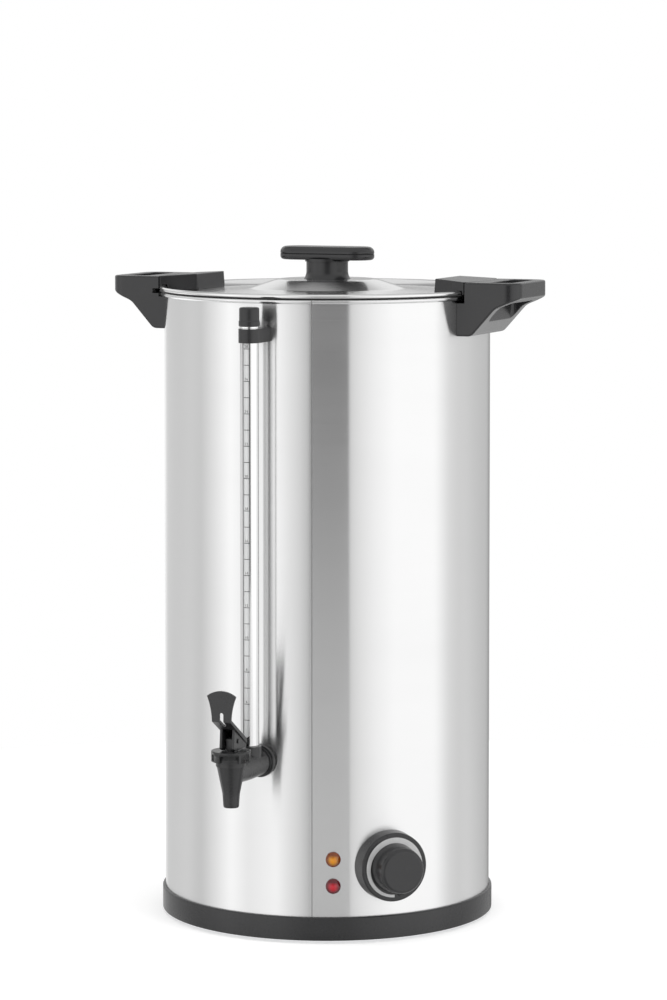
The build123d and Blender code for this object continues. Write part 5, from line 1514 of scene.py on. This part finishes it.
@dataclass
class Studio:
    """Plain floor, soft lights, the room that metal mirrors, and the camera. Sizes are in metres."""

    azimuth: float = 23.0  # of the camera, from the tap towards the right handle
    distance: float = 3.3563
    height: float = 0.7506
    heading: float = 22.9011
    pitch: float = 3.947
    lens: float = 131.45  # mm
    sensor: float = 36.0  # mm
    shift_y: float = -0.15
    floor_radius: float = 0.9
    floor_glow: float = 0.40  # what the camera sees of the floor beyond its lit colour

    AIM = Vector((0, 0, 0.3))  # where the lamps point
    # Light in the room, by degrees from the camera or by the upward part of the direction.
    BOXES = {
        -180: 0.84, -168: 1.00, -156: 0.76, -120: 0.76, -100: 0.78, -86: 1.09, -72: 1.42,
        -58: 1.20, -36: 1.37, -28: 1.15, -20: 0.95, -14.6: 0.76, -12.4: 0.68, -11.8: 0.86,
        14.8: 0.86, 15.4: 0.90, 24: 1.10, 34: 1.27, 48: 1.42, 82: 1.40, 96: 0.98,
        108: 0.82, 148: 0.64, 156: 0.58, 163: 0.38, 180: 0.36,
    }
    CEILING = grey(0.86)
    GAP = {-180: 0, -12.4: 0, -11.8: 1, 14.8: 1, 15.4: 0, 180: 0}
    GAP_COLOUR = grey(0.13)
    REAR = {-180: 1, -125: 1, -110: 0, 110: 0, 125: 1, 180: 1}
    REAR_FLOOR = grey(1.4)
    REAR_BANDS = (
        (0.02, 0.40), (0.10, 0.40), (0.16, 0.90), (0.42, 0.90), (0.54, 0.38), (0.80, 0.38), (0.95, 0.86),
    )

    def camera(self) -> None:
        """Adds the camera."""
        data = bpy.data.cameras.new("camera")
        data.lens = self.lens
        data.sensor_width = self.sensor
        data.shift_y = self.shift_y
        data.clip_end = 60
        eye = add_object("camera", data)
        turn, dip = radians(self.heading), radians(self.pitch)
        forward = Vector((-sin(turn) * cos(dip), cos(turn) * cos(dip), -sin(dip)))
        eye.location = outward(self.azimuth, self.distance, self.height)
        eye.rotation_euler = forward.to_track_quat("-Z", "Y").to_euler()
        bpy.context.scene.camera = eye

    def room(self) -> None:
        """White to the camera; to the object, soft boxes left and right of a darker gap at the front."""
        world = bpy.data.worlds.new("room")
        world.use_nodes = True
        bpy.context.scene.world = world
        net = Net(world.node_tree)
        x, y, z = net.split(net.node("ShaderNodeTexCoord", {}, {}, "Generated"))
        turned = net.node("ShaderNodeMath", {"operation": "ARCTAN2"}, {0: x, 1: y * -1})
        offset = turned / (2 * pi) + (0.5 - self.azimuth / 360)
        around = net.node("ShaderNodeMath", {"operation": "FRACT"}, {0: offset})
        # The boxes at the sides dim towards the floor, and the ceiling takes over above them.
        value = self.levels(net, around, self.BOXES) * net.span(z, -0.45, -0.12, 0.64, 1.0)
        sides = net.node("ShaderNodeCombineColor", {}, {"Red": value, "Green": value, "Blue": value})
        light = net.blend(z.ramp((0.0, 0.0), (0.55, 1.0)), sides, self.CEILING)
        # Behind the urn: bands for the lid above, and a bright floor below.
        behind = self.levels(net, around, self.REAR)
        light = net.blend(behind * z.above(0), light, z.ramp(*self.REAR_BANDS))
        light = net.blend(behind * net.span(z, -0.40, -0.26, 1.0, 0.0), light, self.REAR_FLOOR)
        # The dark gap in front fades above and below.
        gap = self.levels(net, around, self.GAP)
        shade = net.span(z, -0.75, -0.45, 0.0, 1.0) * net.span(z, 0.18, 0.46, 1.0, 0.0)
        light = net.blend(gap * shade, light, self.GAP_COLOUR)
        # Camera rays and transmitted rays meet plain white.
        path = net.node("ShaderNodeLightPath", {}, {}, "Is Camera Ray")
        through = Wire(net, path.socket.node.outputs["Is Transmission Ray"])
        seen = net.node("ShaderNodeBackground", {}, {"Color": (1, 1, 1, 1), "Strength": 1.0})
        lit = net.node("ShaderNodeBackground", {}, {"Color": light, "Strength": 1.0})
        mixed = net.node("ShaderNodeMixShader", {}, {0: (path + through).clamped(), 1: lit, 2: seen})
        net.node("ShaderNodeOutputWorld", {}, {"Surface": mixed})

    @staticmethod
    def levels(net: Net, around: Wire, levels: dict[float, float]) -> Wire:
        """Draws a level that changes evenly between given azimuths.

        Args:
            net: the node tree.
            around: the direction, as a share of a full turn.
            levels: the levels by degrees.
        Returns:
            The level.
        """
        ends = sorted(levels.items())
        value: Any = ends[0][1]
        for (low, first), (high, second) in zip(ends, ends[1:]):
            value = net.span(around, (low + 180) / 360, (high + 180) / 360, 0.0, second - first) + value
        return value

    def lamp(self, name: str, azimuth: float, away: float, height: float, width: float, power: float) -> None:
        """Adds a soft box that faces the urn.

        Args:
            name: its name.
            azimuth: degrees from the camera, to the right.
            away: distance from the urn's axis.
            height: its height.
            width: side of the square box.
            power: watts.
        """
        data = bpy.data.lights.new(name, "AREA")
        data.size = width
        data.energy = power
        box = add_object(name, data)
        box.location = outward(self.azimuth + azimuth, away, height)
        box.rotation_euler = (self.AIM - box.location).to_track_quat("-Z", "Y").to_euler()
        box.visible_glossy = False

    def low_glow(self, place: tuple[float, float, float], width: float, tall: float, level: float) -> None:
        """Adds a faint box low in front, which only metal mirrors, so the dark gap fades towards the floor.

        Args:
            place: of its middle: away from the urn's axis, to the camera's right, and height.
            width, tall: its sides.
            level: its brightness.
        """
        data = bpy.data.lights.new("low_glow", "AREA")
        data.shape = "RECTANGLE"
        data.size, data.size_y = width, tall
        data.energy = level * pi * width * tall
        box = add_object("low_glow", data)
        front, right = outward(self.azimuth, 1, 0), outward(self.azimuth + 90, 1, 0)
        box.location = front * place[0] + right * place[1] + UP * place[2]
        box.rotation_euler = (-front).to_track_quat("-Z", "Y").to_euler()
        box.visible_camera = box.visible_diffuse = box.visible_transmission = False

    def floor(self) -> None:
        """Adds the pale floor, which keeps the urn's shadow."""
        bpy.ops.object.select_all(action="DESELECT")
        below = (0, 0, -0.0004)  # a hair under the feet, so the two don't share a plane
        bpy.ops.mesh.primitive_circle_add(
            vertices=96, radius=self.floor_radius, fill_type="NGON", location=below
        )
        ground = bpy.context.object
        ground.name = "floor"
        material = bpy.data.materials.new("floor")
        material.use_nodes = True
        net = Net(material.node_tree)
        path = net.node("ShaderNodeLightPath", {}, {}, "Is Camera Ray")
        body = net.node("ShaderNodeBsdfDiffuse", {}, {"Color": (0.86, 0.86, 0.86, 1)})
        glow = net.node("ShaderNodeEmission", {}, {"Color": (1, 1, 1, 1), "Strength": path * self.floor_glow})
        both = net.node("ShaderNodeAddShader", {}, {0: body, 1: glow})
        net.node("ShaderNodeOutputMaterial", {}, {"Surface": both})
        ground.data.materials.append(material)
        ground.visible_glossy = False

    def build(self) -> None:
        """Adds all of it and sets the view."""
        bpy.context.scene.view_settings.view_transform = "Standard"
        self.camera()
        self.room()
        self.floor()
        self.lamp("key", azimuth=48, away=2.6, height=2.4, width=1.6, power=22)
        self.lamp("fill", azimuth=-52, away=2.8, height=2.0, width=1.8, power=14)
        self.low_glow((1.35, 0.033, -0.175), width=0.60, tall=0.55, level=0.6)


# ---------------------------------------------------------------------- all of it


def main() -> None:
    """Builds the studio and every piece in order."""
    logging.basicConfig(level=logging.INFO, format="%(message)s")
    dress_nodes()
    for assembly in (Base(), Vessel(), Handles(), Lid(), Tap(), Gauge(), Dial(), Lamps(), Electrics()):
        assembly.build()
        assembly.dress()
        LOG.info("%s: %d pieces", type(assembly).__name__, len(assembly.made))
    Studio().build()


if __name__ == "__main__":
    main()
